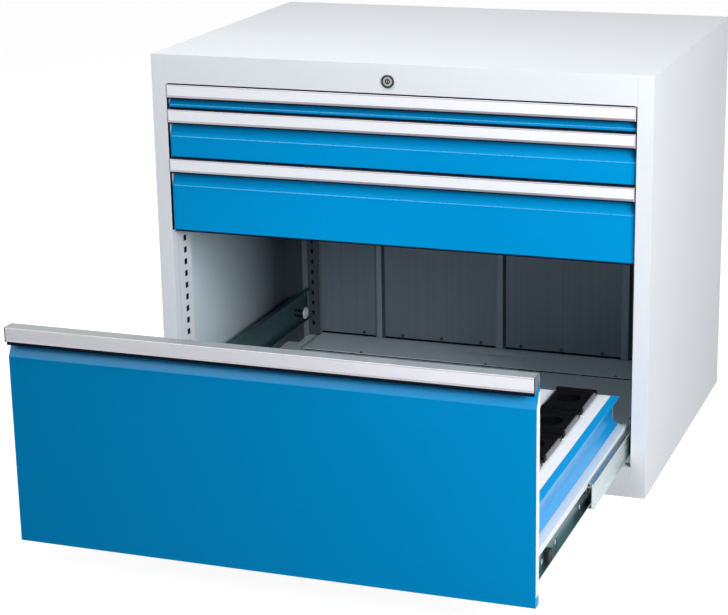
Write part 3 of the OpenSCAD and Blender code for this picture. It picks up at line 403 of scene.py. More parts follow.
# Finishes: the effect, its values, and the plain shader values
finishes = {
    "greyPaint": {"effect": "powderCoat", "Color": paintGrey, "Grain Scale": 850.0, "Cloud": 0.05,
                  "Roughness": 0.46, "bump": 0.10, "depth": 0.0004, "specular": 0.35},
    "bluePaint": {"effect": "powderCoat", "Color": paintBlue, "Grain Scale": 700.0, "Cloud": 0.08,
                  "Roughness": 0.30, "bump": 0.16, "depth": 0.0004, "specular": 0.03},
    "blueSheen": {"effect": "powderCoat", "Color": paintBlue, "Grain Scale": 380.0, "Cloud": 0.08,
                  "Roughness": 0.34, "bump": 0.45, "depth": 0.0006, "specular": 0.5},
    # a lighter blue for the folds of the drawers' fronts, a painted glint, with a stronger reflection
    "blueGlint": {"effect": "powderCoat", "Color": (0.03, 0.37, 0.73, 1), "Grain Scale": 120.0,
                  "Cloud": 0.5, "Roughness": 0.28, "bump": 0.45, "depth": 0.0008, "specular": 0.75},
    "blueGloss": {"effect": "powderCoat", "Color": paintBlue, "Grain Scale": 700.0, "Cloud": 0.06,
                  "Roughness": 0.24, "bump": 0.06, "depth": 0.0003, "specular": 0.3},
    # the inner face of the back panel is a dark bluish grey, painted shade; its streaks along z are brushed
    # grain
    "backWallShade": {"effect": "powderCoat", "tone": "insideOut", "Inside": (0.235, 0.285, 0.335, 1),
                   "Outside": paintGrey, "Axis": (0, 1, 0), "Limit": toneLimit["wall"], "Brushed": 0.35,
                   "Grain Scale": 850.0, "Cloud": 0.30, "Roughness": 0.36, "bump": 0.10, "depth": 0.0004,
                   "specular": 0.5},
    # the inner faces of the side panels are lighter and bluer than the paint at the front, painted light, and
    # turn near black towards the rear, painted shade
    "sideGrey": {"effect": "powderCoat", "tone": "rearShadeTone", "Color": paintGrey,
                 "Inner": (0.79, 0.93, 1.0, 1), "Rear Shade": (0.05, 0.07, 0.09, 1),
                 "Near": toneLimit["sideNear"], "Far": toneLimit["sideFar"], "Reach": toneLimit["sideReach"],
                 "Grain Scale": 850.0, "Cloud": 0.05, "Roughness": 0.46, "bump": 0.10, "depth": 0.0004,
                 "specular": 0.35},
    # the rear uprights carry painted shade: near black in front of the middle of the web, a dark grey rear
    # web and a darker slotted flange
    "uprightShade": {"effect": "powderCoat", "tone": "insideOut", "Before": (0.055, 0.07, 0.085, 1),
                    "Inside": (0.27, 0.32, 0.35, 1), "Outside": (0.09, 0.11, 0.135, 1), "Axis": (0, 1, 0),
                    "Start": toneLimit["web"], "Limit": toneLimit["flange"], "Brushed": 0.2,
                    "Grain Scale": 850.0, "Cloud": 0.2, "Roughness": 0.4, "bump": 0.10, "depth": 0.0004,
                    "specular": 0.4},
    # the floor inside the carcass is lighter and bluer than the carcass paint, painted light
    "floorGrey": {"effect": "powderCoat", "Color": (0.86, 0.95, 1.0, 1), "Grain Scale": 850.0,
                  "Cloud": 0.15, "Roughness": 0.4, "bump": 0.10, "depth": 0.0004, "specular": 0.4},
    # the beads are lighter than the back wall, a painted highlight; beadShade is painted shade on one flank
    "beadHighlight": {"effect": "powderCoat", "Color": (0.36, 0.42, 0.47, 1), "Grain Scale": 850.0,
                 "Cloud": 0.1, "Roughness": 0.30, "bump": 0.05, "depth": 0.0003, "specular": 0.5},
    "beadShade": {"effect": "powderCoat", "Color": (0.07, 0.09, 0.11, 1), "Grain Scale": 850.0,
                  "Cloud": 0.1, "Roughness": 0.40, "bump": 0.05, "depth": 0.0003, "specular": 0.3},
    # the liner is near black above the limit, painted shade behind the grip and slope of the pull-out's front
    "linerTopShade": {"effect": "powderCoat", "tone": "insideOut", "Inside": paintGrey,
                  "Outside": (0.012, 0.02, 0.04, 1), "Axis": (0, 0, 1), "Limit": toneLimit["liner"],
                  "Grain Scale": 850.0, "Cloud": 0.05, "Roughness": 0.46, "bump": 0.10, "depth": 0.0004,
                  "specular": 0.2},
    "gripAluminium": {"effect": "drawnMetal", "Color": (0.58, 0.55, 0.58, 1), "Stretch": gripGrain,
                      "Streak": 0.14, "Roughness": 0.46, "bump": 0.05, "depth": 0.0002, "metallic": 0.85},
    # the grips' top faces are darker than the aluminium, painted shade: near black on the closed drawers, a
    # dark grey on the pull-out
    "gripShade": {"effect": "drawnMetal", "Color": (0.03, 0.04, 0.07, 1), "Stretch": gripGrain,
                  "Streak": 0.14, "Roughness": 0.50, "bump": 0.05, "depth": 0.0002, "metallic": 0.3},
    "gripTopShade": {"effect": "drawnMetal", "Color": (0.33, 0.36, 0.36, 1), "Stretch": gripGrain,
                "Streak": 0.14, "Roughness": 0.40, "bump": 0.05, "depth": 0.0002, "metallic": 0.85},
    "labelWhite": {"effect": "moulded", "Color": (0.91, 0.925, 0.98, 1), "Grain Scale": 500.0,
                   "Scuff": 0.03, "Roughness": 0.34, "bump": 0.02, "depth": 0.0002, "specular": 0.4},
    "capGrey": {"effect": "moulded", "Color": (0.06, 0.065, 0.075, 1), "Grain Scale": 1500.0,
                "Roughness": 0.5, "bump": 0.10, "depth": 0.0003, "specular": 0.4},
    "zincRail": {"effect": "drawnMetal", "Color": (0.50, 0.57, 0.58, 1), "Stretch": railGrain,
                 "Streak": 0.40, "Blotch": 0.05, "Roughness": 0.30, "bump": 0.06, "depth": 0.0002,
                 "metallic": 0.95},
    # a dark teal zinc for the rails: the teal of a chromated zinc, darkened as painted shade for the dark
    # inside of the carcass that they reflect
    "darkZinc": {"effect": "drawnMetal", "Color": (0.07, 0.155, 0.17, 1), "Stretch": railGrain,
                 "Streak": 0.30, "Roughness": 0.34, "bump": 0.08, "depth": 0.0002, "metallic": 0.8},
    "rollerSteel": {"effect": "drawnMetal", "Color": (0.60, 0.62, 0.64, 1), "Stretch": (700.0, 40.0, 40.0),
                    "Streak": 0.16, "Roughness": 0.26, "bump": 0.05, "depth": 0.0002, "metallic": 1.0},
    "lockChrome": {"effect": "drawnMetal", "Color": (0.66, 0.67, 0.69, 1), "Stretch": turnedGrain,
                   "Streak": 0.10, "Roughness": 0.18, "bump": 0.03, "depth": 0.0002, "metallic": 1.0},
    "boltBright": {"effect": "drawnMetal", "Color": (0.86, 0.87, 0.88, 1), "Stretch": (60.0, 60.0, 60.0),
                   "Streak": 0.30, "Roughness": 0.34, "bump": 0.10, "depth": 0.0003, "metallic": 0.35},
    "lockSteel": {"effect": "drawnMetal", "Color": (0.46, 0.45, 0.45, 1), "Stretch": turnedGrain,
                  "Streak": 0.30, "Roughness": 0.28, "bump": 0.06, "depth": 0.0002, "metallic": 1.0},
    "rivetDark": {"effect": "drawnMetal", "Color": (0.10, 0.11, 0.12, 1), "Stretch": (90.0, 90.0, 90.0),
                  "Streak": 0.20, "Roughness": 0.22, "bump": 0.05, "depth": 0.0002, "metallic": 0.9},
    "lockRing": {"effect": "drawnMetal", "Color": (0.05, 0.055, 0.065, 1), "Stretch": turnedGrain,
                 "Streak": 0.10, "Roughness": 0.24, "bump": 0.03, "depth": 0.0002, "metallic": 0.9},
    "insertBlack": {"effect": "moulded", "Color": (0.004, 0.004, 0.005, 1), "Grain Scale": 1300.0,
                    "Roughness": 0.42, "bump": 0.12, "depth": 0.0003, "specular": 0.03},
    "clipGrey": {"effect": "moulded", "Color": (0.15, 0.16, 0.165, 1), "Grain Scale": 1300.0,
                 "Roughness": 0.45, "bump": 0.12, "depth": 0.0003, "specular": 0.4},
    # a near black for the sheets of painted shade in gaps, slots and hollows
    "shadeBlack": {"effect": "moulded", "Color": (0.004, 0.009, 0.022, 1), "Grain Scale": 900.0,
                  "Roughness": 0.7, "bump": 0.1, "depth": 0.0003, "specular": 0.05},
    "bufferRubber": {"effect": "moulded", "Color": (0.016, 0.016, 0.017, 1), "Grain Scale": 900.0,
                     "Roughness": 0.7, "bump": 0.2, "depth": 0.0004, "specular": 0.3},
}


def makeFinish(name, v):
    material = bpy.data.materials.new(name)
    material.use_nodes = True
    tree = material.node_tree
    shader = tree.nodes["Principled BSDF"]
    effect = tree.nodes.new("ShaderNodeGroup")
    effect.node_tree = effects[v["effect"]]
    for socket in effect.inputs:
        if socket.name in v:
            socket.default_value = v[socket.name]
    if "tone" in v:
        pick = tree.nodes.new("ShaderNodeGroup")
        pick.node_tree = effects[v["tone"]]
        for socket in pick.inputs:
            if socket.name in v:
                socket.default_value = v[socket.name]
        tree.links.new(pick.outputs["Color"], effect.inputs["Color"])
    bump = tree.nodes.new("ShaderNodeBump")
    bump.inputs["Strength"].default_value = v["bump"]
    bump.inputs["Distance"].default_value = v["depth"]
    tree.links.new(effect.outputs["Height"], bump.inputs["Height"])
    tree.links.new(effect.outputs["Color"], shader.inputs["Base Color"])
    tree.links.new(effect.outputs["Roughness"], shader.inputs["Roughness"])
    tree.links.new(bump.outputs["Normal"], shader.inputs["Normal"])
    shader.inputs["Metallic"].default_value = v.get("metallic", 0.0)
    shader.inputs["Specular IOR Level"].default_value = v.get("specular", 0.5)
    return material


materials = {name: makeFinish(name, v) for name, v in finishes.items()}
print("finishes ready:", len(materials))


# Mesh tools for the new pieces
nearly = 1e-5


def placed(along, s, u, v):
    return {"x": (s, u, v), "y": (u, s, v), "z": (u, v, s)}[along]


def roundEdges(bm, groups, segments):
    for offset, edges in groups.items():
        if offset > 0:
            bmesh.ops.bevel(bm, geom=edges, offset=offset, offset_type="OFFSET", affect="EDGES",
                            segments=segments, profile=0.5, material=-1)


def longEdges(corners, offsets, span):
    # the edges that run the whole span, gathered by the size of their rounding
    groups = {}
    for corner, offset in zip(corners, offsets):
        for edge in corner.link_edges:
            if abs(edge.calc_length() - span) < nearly:
                groups.setdefault(offset, []).append(edge)
    return groups


def sweepSheet(bm, line, span, along, outward, wall, segments=5):
    # a bent sheet: line holds (u, v, fold size), the sheet runs over the span
    start, end = span
    corners = [bm.verts.new(placed(along, start, u, v)) for u, v, _ in line]
    ribs = [bm.edges.new(pair) for pair in zip(corners, corners[1:])]
    made = bmesh.ops.extrude_edge_only(bm, edges=ribs)["geom"]
    moved = [g for g in made if isinstance(g, bmesh.types.BMVert)]
    bmesh.ops.translate(bm, verts=moved, vec=placed(along, end - start, 0, 0))
    folds = longEdges(corners[1:-1], [p[2] for p in line[1:-1]], end - start)
    roundEdges(bm, folds, segments)
    bmesh.ops.recalc_face_normals(bm, faces=bm.faces[:])
    widest = max(bm.faces, key=lambda f: f.calc_area())
    if widest.normal.dot(Vector(outward)) < 0:
        bmesh.ops.reverse_faces(bm, faces=bm.faces[:])
    bmesh.ops.solidify(bm, geom=bm.faces[:], thickness=wall)


def joinSheet(bm, sheet):
    # moves a finished sheet into the mesh of its piece
    mesh = bpy.data.meshes.new("sheet")
    sheet.to_mesh(mesh)
    sheet.free()
    bm.from_mesh(mesh)
    bpy.data.meshes.remove(mesh)


def extrudeOutline(bm, outline, span, along, segments=4):
    # a closed section of (u, v, rounding) points over the span
    start, end = span
    corners = [bm.verts.new(placed(along, start, u, v)) for u, v, _ in outline]
    cap = bm.faces.new(corners)
    made = bmesh.ops.extrude_face_region(bm, geom=[cap])["geom"]
    moved = [g for g in made if isinstance(g, bmesh.types.BMVert)]
    bmesh.ops.translate(bm, verts=moved, vec=placed(along, end - start, 0, 0))
    bmesh.ops.recalc_face_normals(bm, faces=bm.faces[:])
    roundEdges(bm, longEdges(corners, [p[2] for p in outline], end - start), segments)


def addBlock(bm, low, high, edge=0.0):
    low, high = Vector(low), Vector(high)
    size = high - low
    made = bmesh.ops.create_cube(bm, size=1.0)["verts"]
    bmesh.ops.scale(bm, vec=size, verts=made)
    bmesh.ops.translate(bm, vec=(low + high) / 2, verts=made)
    edges = list({e for v in made for e in v.link_edges})
    roundEdges(bm, {edge: edges}, 2)


def spinRing(bm, profile, centre, axis, steps):
    # turns a closed profile of (radius, height along the axis) points into a ring or a dome
    axis = Vector(axis)
    side = axis.orthogonal().normalized()
    points = [bm.verts.new(Vector(centre) + side * r + axis * h) for r, h in profile]
    edges = [bm.edges.new(pair) for pair in zip(points, points[1:] + points[:1])]
    bmesh.ops.spin(bm, geom=points + edges, cent=centre, axis=axis, angle=2 * math.pi, steps=steps,
                   use_merge=True, use_duplicate=False)


def addPiece(name, bm, finish, body, replaced=(), angle=32, upper=None):
    # upper names a second finish for the faces whose normals lie between two limits along an axis
    bmesh.ops.remove_doubles(bm, verts=bm.verts[:], dist=1e-6)
    bmesh.ops.recalc_face_normals(bm, faces=bm.faces[:])
    if upper:
        for face in bm.faces:
            face.material_index = int(upper[1] < face.normal[upper[3]] < upper[2])
    mesh = bpy.data.meshes.new(name)
    bm.to_mesh(mesh)
    bm.free()
    mesh.shade_smooth()
    mesh.set_sharp_from_angle(angle=math.radians(angle))
    mesh.materials.append(materials[finish])
    if upper:
        mesh.materials.append(materials[upper[0]])
    piece = bpy.data.objects.new(name, mesh)
    scene.collection.objects.link(piece)
    shade = piece.modifiers.new("shade", "WEIGHTED_NORMAL")
    shade.keep_sharp = True
    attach(piece, body)
    if replaced:
        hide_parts(*replaced)
    return piece


# Blue fronts: bent sheets with a slope below the grip and folded ends at the bottom
frontSheet = {"wall": 0.0015, "slopeDepth": 0.016, "slopeHeight": 0.029, "flatLeast": 0.006,
              "belowGrip": 0.024, "softFold": 0.0008, "sharpFold": 0.0012, "cornerHeight": 0.018,
              "cornerEdge": 0.0004, "sheenFrom": 0.04, "sheenTo": 0.9, "glintShare": 0.95}


def makeFront(node, body, v):
    # on the drawers the fold above the flat face takes a lighter blue, a painted glint; on the tall front the
    # fold and the slope above it shine
    low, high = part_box(node)
    recess = high.z - v["belowGrip"]
    bend = recess - min(v["slopeHeight"], recess - low.z - v["flatLeast"])
    back = low.y + v["slopeDepth"]
    line = [(high.y, low.z, 0), (low.y, low.z, v["sharpFold"]), (low.y, bend, v["softFold"]),
            (back, recess, v["softFold"]), (back, high.z, 0)]
    bm = bmesh.new()
    sweepSheet(bm, line, (low.x, high.x), "x", (0, -1, 0), v["wall"])
    steep = v["slopeDepth"] / math.hypot(v["slopeDepth"], recess - bend)
    upper = ("blueGlint", v["sheenFrom"], v["glintShare"] * steep, 2)
    if body == "tool_drawer":
        upper = ("blueSheen", v["sheenFrom"], v["sheenTo"], 2)
    top = low.z + min(v["cornerHeight"], bend - low.z)
    for side in (low.x, high.x - v["wall"]):
        start = (side, low.y + v["wall"], low.z + v["wall"])
        addBlock(bm, start, (side + v["wall"], high.y, top), v["cornerEdge"])
    addPiece(node + "_sheet", bm, "bluePaint", body, [node], upper=upper)


# Grip strips: aluminium sections with a leaning lower lip and a rounded top edge
gripStrip = {"wall": 0.002, "groove": 0.001, "topEdge": 0.003, "lowEdge": 0.005, "lip": 0.006,
             "flange": 0.012, "backStep": 0.0015, "lean": 0.0022, "topRound": 0.0009, "fine": 0.0003,
             "topFacing": 0.9, "sharpAngle": 25}


def makeGrip(node, body, v):
    low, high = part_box(node)
    front, back, wall, fine = low.y, high.y, v["wall"], v["fine"]
    seat, inner, groove = back - v["backStep"], front + v["groove"] + v["wall"], front + v["groove"]
    outline = [
        (front + v["lean"], low.z, fine * 2), (front, low.z + v["lowEdge"], fine),
        (groove, low.z + v["lowEdge"], 0), (groove, high.z - v["topEdge"], 0),
        (front, high.z - v["topEdge"], fine), (front, high.z, v["topRound"]),
        (back, high.z, fine), (back, high.z - wall, 0), (seat, high.z - wall, 0),
        (seat, high.z - v["flange"], fine), (seat - wall, high.z - v["flange"], fine),
        (seat - wall, high.z - wall, 0), (inner, high.z - wall, 0), (inner, low.z + wall, 0),
        (front + v["lip"], low.z + wall, fine), (front + v["lip"], low.z, fine)]
    bm = bmesh.new()
    extrudeOutline(bm, outline, (low.x, high.x), "x")
    # the top faces take a darker finish as painted shade
    top = "gripTopShade" if body == "tool_drawer" else "gripShade"
    upper = (top, v["topFacing"], 2 - v["topFacing"], 2)
    addPiece(node + "_strip", bm, "gripAluminium", body, [node], v["sharpAngle"], upper)


# Label strips: thin sheets that cover the groove of a grip with a little overlap
labelSheet = {"over": 0.0005, "proud": 0.0002, "edge": 0.0002}


def makeLabel(node, body, v):
    low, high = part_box(node)
    bm = bmesh.new()
    start = (low.x, low.y - v["proud"], low.z - v["over"])
    addBlock(bm, start, (high.x, high.y, high.z + v["over"]), v["edge"])
    addPiece(node + "_sheet", bm, "labelWhite", body, [node])


for front in ("drawer_1", "drawer_2", "drawer_3", "tool"):
    rider = "tool_drawer" if front == "tool" else front
    makeFront(front + "_front", rider, frontSheet)
    makeGrip(front + "_grip", rider, gripStrip)
    makeLabel(front + "_label", rider, labelSheet)
print("fronts and grips ready")


# Dark sheets of painted shade in the gaps: below the three drawers' fronts and the header, under the lip of
# each grip, beside the drawers
gapShade = {"thick": 0.0019, "inset": 0.0002, "clear": 0.0007, "gap": 0.003, "lap": 0.0012,
            "lipBack": 0.0032, "drawerDrop": 0.0026, "toolDrop": 0.0060, "side": 0.0006, "sideFront": 0.0015,
            "sideBack": 0.0095}


# a dark strip across the gap below a front, lapping over its lower edge: painted shade of the gap
def makeGapShade(name, above, grip, body, v):
    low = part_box(above)[0]
    left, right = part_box(grip)[0].x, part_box(grip)[1].x
    front = low.y - v["inset"]
    bm = bmesh.new()
    start = (left, front, low.z - v["gap"] + v["clear"])
    addBlock(bm, start, (right, front + v["thick"], low.z + v["lap"]))
    addPiece(name, bm, "shadeBlack", body)


# a dark strip hanging below the lip: painted shadow under the grip
def makeLipShade(grip, body, drop, v):
    low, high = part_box(grip)
    front = low.y + v["lipBack"]
    bm = bmesh.new()
    addBlock(bm, (low.x, front, low.z - drop), (high.x, front + v["thick"], low.z + v["inset"]))
    addPiece(grip + "_shade", bm, "shadeBlack", body)


def makeStileShades(v):
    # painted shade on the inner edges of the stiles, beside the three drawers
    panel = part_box("right_side_panel")[0]
    low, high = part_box("drawer_3_front")[0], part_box("drawer_1_front")[1]
    bm = bmesh.new()
    for side in (-1, 1):
        spanX = sorted((side * panel.x, side * (panel.x - v["side"])))
        start = (spanX[0], panel.y + v["sideFront"], low.z)
        addBlock(bm, start, (spanX[1], panel.y + v["sideBack"], high.z))
    addPiece("stile_shades", bm, "shadeBlack", "cabinet")


makeStileShades(gapShade)
makeGapShade("header_shade", "top_panel", "drawer_1_grip", "cabinet", gapShade)
for front in ("drawer_1", "drawer_2", "drawer_3"):
    makeGapShade(front + "_shade", front + "_front", front + "_grip", front, gapShade)
    makeLipShade(front + "_grip", front, gapShade["drawerDrop"], gapShade)
makeLipShade("tool_grip", "tool_drawer", gapShade["toolDrop"], gapShade)


# Painted shade in the slots: dark blocks in the slots of the front uprights, dark sheets behind those of the
# rear ones
slotShade = {"webDepth": 0.028, "proud": 0.0003, "deep": 0.0010, "pitch": 0.025, "height": 0.010,
            "width": 0.010, "shift": 0.001, "grow": 0.001}
slotShadeLiner = {"thick": 0.0006, "ends": 0.004, "rearGap": 0.0004, "rearIn": 0.0565, "rearOut": 0.0290}


def makeSlotShades(v):
    low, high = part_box("front_uprights")
    middle = (low.y + high.y) / 2 + v["shift"]
    half = v["width"] / 2 + v["grow"]
    bm = bmesh.new()
    web = high.x - v["webDepth"]
    for side in (-1, 1):
        spanX = sorted((side * (web - v["proud"]), side * (web + v["deep"])))
        for k in range(1, int((high.z - low.z) / v["pitch"])):
            foot = low.z + k * v["pitch"] - v["grow"]
            head = foot + v["height"] + 2 * v["grow"]
            addBlock(bm, (spanX[0], middle - half, foot), (spanX[1], middle + half, head))
    addPiece("slot_shades", bm, "shadeBlack", "cabinet")


def makeSlotShadeLiners(v):
    bm = bmesh.new()
    low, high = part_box("rear_uprights")
    for side in (-1, 1):
        spanX = sorted((side * (high.x - v["rearIn"]), side * (high.x - v["rearOut"])))
        back = high.y + v["rearGap"]
        start = (spanX[0], back, low.z + v["ends"])
        addBlock(bm, start, (spanX[1], back + v["thick"], high.z - v["ends"]))
    addPiece("slot_shade_liners", bm, "shadeBlack", "cabinet")


makeSlotShades(slotShade)
makeSlotShadeLiners(slotShadeLiner)


# Beads of the back wall: bent sheets over the pressed ribs, a lighter grey than the wall as a painted
# highlight, darker on the flank away from the light as painted shade
wallBead = {"sides": (-1, 0, 1), "pitch": 0.295, "width": 0.025, "depth": 0.006, "lift": 0.0005,
            "wall": 0.0004, "fold": 0.0012, "foot": 0.001, "head": 0.006, "shadeFrom": 0.3, "shadeTo": 1.1,
            "segments": 3}


def makeBeads(node, body, v):
    low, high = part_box(node)
    face, wall = low.y - v["lift"], low.y + v["depth"] - v["lift"]
    half, flank = v["width"] / 2, v["width"] / 2 - v["depth"]
    span = (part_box("rear_floor_cover")[1].z + v["foot"], high.z - v["head"])
    bm = bmesh.new()
    for side in v["sides"]:
        x = side * v["pitch"]
        line = [(x - half, wall, 0), (x - flank, face, v["fold"]), (x + flank, face, v["fold"]),
                (x + half, wall, 0)]
        sheet = bmesh.new()
        sweepSheet(sheet, line, span, "z", (0, -1, 0), v["wall"], v["segments"])
        joinSheet(bm, sheet)
    shade = ("beadShade", v["shadeFrom"], v["shadeTo"], 0)
    addPiece(node + "_beads", bm, "beadHighlight", body, upper=shade)


makeBeads("back_panel", "cabinet", wallBead)


# Round heads on the inner ends of the lowest stop bolts
stopHead = {"boltRadius": 0.009, "boltLength": 0.021, "radius": 0.0138, "back": 0.0048, "thick": 0.0034,
            "edge": 0.0010, "bore": 0.0040, "sink": 0.0014, "steps": 32}


def makeStopHeads(node, body, v):
    low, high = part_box(node)
    bm = bmesh.new()
    profile = [(0, 0), (v["radius"], 0), (v["radius"], v["thick"] - v["edge"]),
               (v["radius"] - v["edge"], v["thick"]), (v["bore"], v["thick"]),
               (v["bore"], v["thick"] - v["sink"]), (0, v["thick"] - v["sink"])]
    for side in (-1, 1):
        foot = (side * (high.x - v["boltLength"]), (low.y + high.y) / 2 + v["back"],
                low.z + v["boltRadius"])
        spinRing(bm, profile, foot, (-side, 0, 0), v["steps"])
    addPiece(node + "_heads", bm, "boltBright", body, angle=40)


makeStopHeads("stop_bolts", "cabinet", stopHead)


# Painted shade: dark strips below the overhanging edge of the rear floor cover and along the wall
coverGapShade = {"inset": 0.003, "thick": 0.001, "ends": 0.002, "sheet": 0.0015, "wallLine": 0.0045}


def makeCoverGapShade(node, body, v):
    low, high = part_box(node)
    front = low.y + v["inset"]
    bm = bmesh.new()
    end = (high.x - v["ends"], front + v["thick"], high.z - v["sheet"])
    addBlock(bm, (low.x + v["ends"], front, low.z), end)
    addBlock(bm, (low.x, high.y - v["thick"], high.z), (high.x, high.y, high.z + v["wallLine"]))
    addPiece(node + "_gap_shade", bm, "shadeBlack", body)


makeCoverGapShade("rear_floor_cover", "cabinet", coverGapShade)
# the seals, slot liners and cover joints above are dark sheets of painted shade
print("seals, slot liners, beads and stop heads ready")


# Side rails of the pull-out: one bent sheet on each side
sideRail = {"wall": 0.002, "headOver": 0.002, "footSlope": 0.010, "footHeight": 0.013, "headSlope": 0.0155,
            "headEdge": 0.0045, "flange": 0.015, "softFold": 0.0016, "sharpFold": 0.0007, "lift": 0.0013}


def makeSideRails(node, body, v):
    low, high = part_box(node)
    head = high.x
    foot = head - v["headOver"]
    web = foot - v["footSlope"]
    bm = bmesh.new()
    for side in (-1, 1):
        line = [(side * foot, low.z + v["lift"], 0), (side * web, low.z + v["footHeight"], v["softFold"]),
                (side * web, high.z - v["headEdge"] - v["headSlope"], v["softFold"]),
                (side * head, high.z - v["headEdge"], v["sharpFold"]),
                (side * head, high.z, v["sharpFold"]), (side * (head - v["flange"]), high.z, 0)]
        sheet = bmesh.new()
        sweepSheet(sheet, line, (low.y, high.y), "y", (side, 0, 0), v["wall"])
        joinSheet(bm, sheet)
    addPiece(node + "_sheet", bm, "blueGloss", body, [node])


makeSideRails("tool_side_rails", "tool_drawer", sideRail)


# Lock housing: a turned collar with a chamfered rim
lockCollar = {"flange": 0.0017, "bore": 0.0091, "rim": 0.0008, "steps": 56}


def makeLockCollar(node, body, v):
    low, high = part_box(node)
    centre = ((low.x + high.x) / 2, 0, (low.z + high.z) / 2)
    outer = (high.x - low.x) / 2
    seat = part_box("top_panel")[0].y
    profile = [(v["bore"], high.y), (v["bore"], low.y + 2 * v["rim"]), (v["bore"] + v["rim"], low.y),
               (outer - v["rim"], low.y), (outer, low.y + v["rim"]), (outer, seat),
               (outer - v["flange"], seat), (outer - v["flange"], high.y)]
    bm = bmesh.new()
    spinRing(bm, profile, centre, (0, 1, 0), v["steps"])
    addPiece(node + "_collar", bm, "lockRing", body, [node], 20)


makeLockCollar("lock_housing", "cabinet", lockCollar)


# Face of the lock plug: a dark turned ring as painted shade in the groove around the keyhole, and a dark
# block as painted shade in the keyhole
plugFace = {"groove": 0.0052, "land": 0.0030, "proud": 0.0002, "sink": 0.0008, "keyWidth": 0.0020,
            "keyHeight": 0.0090, "steps": 40}


def makePlugFace(node, body, v):
    low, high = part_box(node)
    x, z = (low.x + high.x) / 2, (low.z + high.z) / 2
    bm = bmesh.new()
    profile = [(v["land"], -v["proud"]), (v["groove"], -v["proud"]), (v["groove"], v["sink"]),
               (v["land"], v["sink"])]
    spinRing(bm, profile, (x, low.y, z), (0, 1, 0), v["steps"])
    half = Vector((v["keyWidth"] / 2, 0, v["keyHeight"] / 2))
    face = Vector((x, low.y + v["proud"], z))
    addBlock(bm, face - half, face + half + Vector((0, v["sink"], 0)))
    addPiece(node + "_groove_shade", bm, "shadeBlack", body)


makePlugFace("lock_plug", "lock", plugFace)


# Round heads with a small recess for the floor screws and the back rivets
roundHead = {"recess": 0.36, "recessTaper": 0.8, "recessDepth": 0.5, "shoulder": 0.82, "shoulderDrop": 0.25,
             "edge": 0.2, "steps": 24, "screws": 3, "rivets": 8}


def makeHeads(node, body, count, axis, v):
    low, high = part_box(node)
    size = high - low
    tall = abs(size.dot(Vector(axis)))
    r = (size.z if abs(axis[1]) > 0.5 else size.y) / 2
    pitch = (size.x - 2 * r) / (count - 1)
    bm = bmesh.new()
    profile = [(0, 0), (r, 0), (r, v["edge"] * tall), (v["shoulder"] * r, (1 - v["shoulderDrop"]) * tall),
               (v["recess"] * r, tall),
               (v["recess"] * r * v["recessTaper"], (1 - v["recessDepth"]) * tall),
               (0, (1 - v["recessDepth"]) * tall)]
    for k in range(count):
        centre = Vector((low.x + r + k * pitch, (low.y + high.y) / 2, (low.z + high.z) / 2))
        foot = centre - Vector(axis) * tall / 2
        spinRing(bm, profile, foot, axis, v["steps"])
    addPiece(node + "_heads", bm, "rivetDark", body, [node], 40)


makeHeads("floor_screws", "cabinet", roundHead["screws"], (0, 0, 1), roundHead)
makeHeads("back_rivets", "cabinet", roundHead["rivets"], (0, -1, 0), roundHead)
print("side rails, lock collar and screw heads ready")


# Collars around the sockets of the tool inserts
socketCollar = {"bore": 0.0232, "outer": 0.0262, "rise": 0.0011, "sink": 0.0006, "edge": 0.0005,
                "ribs": 0.0015, "steps": 48}


def makeCollars(node, body, v):
    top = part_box(node)[1].z - v["ribs"]
    bm = bmesh.new()
    shoulder = v["rise"] - v["edge"]
    profile = [(v["bore"], -v["sink"]), (v["bore"], shoulder), (v["bore"] + v["edge"], v["rise"]),
               (v["outer"] - v["edge"], v["rise"]), (v["outer"], shoulder), (v["outer"], -v["sink"])]
    for opening in frame["record"]["physics"]["openings"]:
        if opening["name"].startswith("socket"):
            a, b = opening["box_m"]
            spinRing(bm, profile, ((a[0] + b[0]) / 2, (a[1] + b[1]) / 2, top), (0, 0, 1), v["steps"])
    addPiece("tool_insert_collars", bm, "insertBlack", body)


makeCollars("tool_inserts", "tool_drawer", socketCollar)


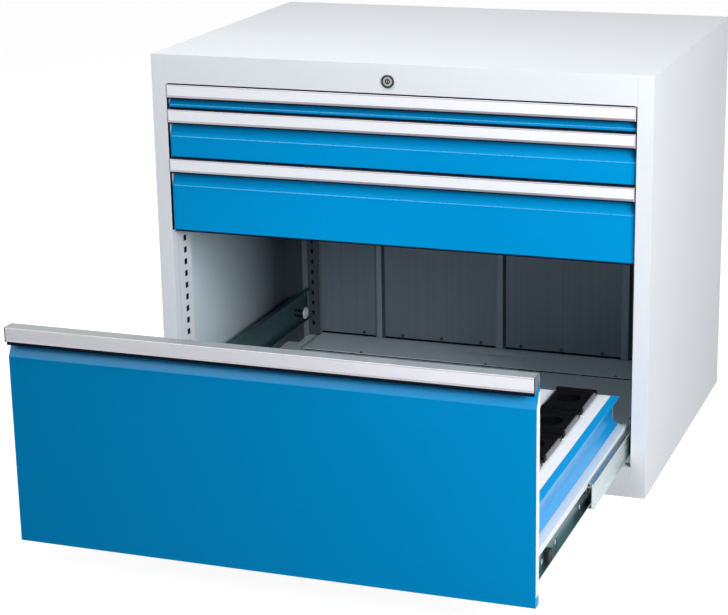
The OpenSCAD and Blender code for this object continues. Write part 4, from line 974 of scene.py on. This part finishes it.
# Finish and edge radius of every CAD node that stays
slotFinish = {
    "grey_paint": ("greyPaint", 0.0006),
    "blue_paint": ("bluePaint", 0.0007),
    "grip_aluminium": ("gripAluminium", 0.0006),
    "label_white": ("labelWhite", 0.0002),
    "cap_grey": ("capGrey", 0.0004),
    "zinc_rail": ("zincRail", 0.0004),
    "roller_steel": ("rollerSteel", 0.0004),
    "lock_chrome": ("lockChrome", 0.0004),
    "lock_zinc": ("zincRail", 0.0003),
    "insert_black": ("insertBlack", 0.0008),
    "base_grey": ("clipGrey", 0.0006),
    "buffer_black": ("bufferRubber", 0.0010),
}
# stop_bolts take the dark rivet finish as painted shade of the hub beside the bright stop heads
nodeFinish = {"back_panel": "backWallShade", "left_side_panel": "sideGrey", "right_side_panel": "sideGrey",
              "rear_uprights": "uprightShade", "base_panel": "floorGrey", "rear_floor_cover": "floorGrey",
              "tool_front_liner": "linerTopShade", "lock_plug": "lockSteel", "stop_bolts": "rivetDark",
              "drawer_1_end_caps": "gripAluminium", "drawer_2_end_caps": "gripAluminium",
              "drawer_3_end_caps": "gripAluminium", "tool_rails": "darkZinc", "cabinet_rails": "darkZinc",
              "drawer_1_rails": "darkZinc", "drawer_2_rails": "darkZinc", "drawer_3_rails": "darkZinc"}


edgeWork = {"weld": 0.00001, "flat": 0.5, "sharp": 35, "segments": 2}


def softenEdges(piece, radius, v):
    weld = piece.modifiers.new("weld", "WELD")
    weld.merge_threshold = v["weld"]
    flat = piece.modifiers.new("flat", "DECIMATE")
    flat.decimate_type = "DISSOLVE"
    flat.angle_limit = math.radians(v["flat"])
    edge = piece.modifiers.new("edge", "BEVEL")
    edge.width = radius
    edge.segments = v["segments"]
    edge.limit_method = "ANGLE"
    edge.angle_limit = math.radians(v["sharp"])
    shade = piece.modifiers.new("shade", "WEIGHTED_NORMAL")
    shade.keep_sharp = False


for part in frame["record"]["subparts"]:
    finish, radius = slotFinish[part["material_slot"]]
    piece = nodes[part["node"]]
    piece.data.materials.clear()
    piece.data.materials.append(materials[nodeFinish.get(part["node"], finish)])
    softenEdges(piece, radius, edgeWork)
print("CAD nodes finished:", len(nodes))
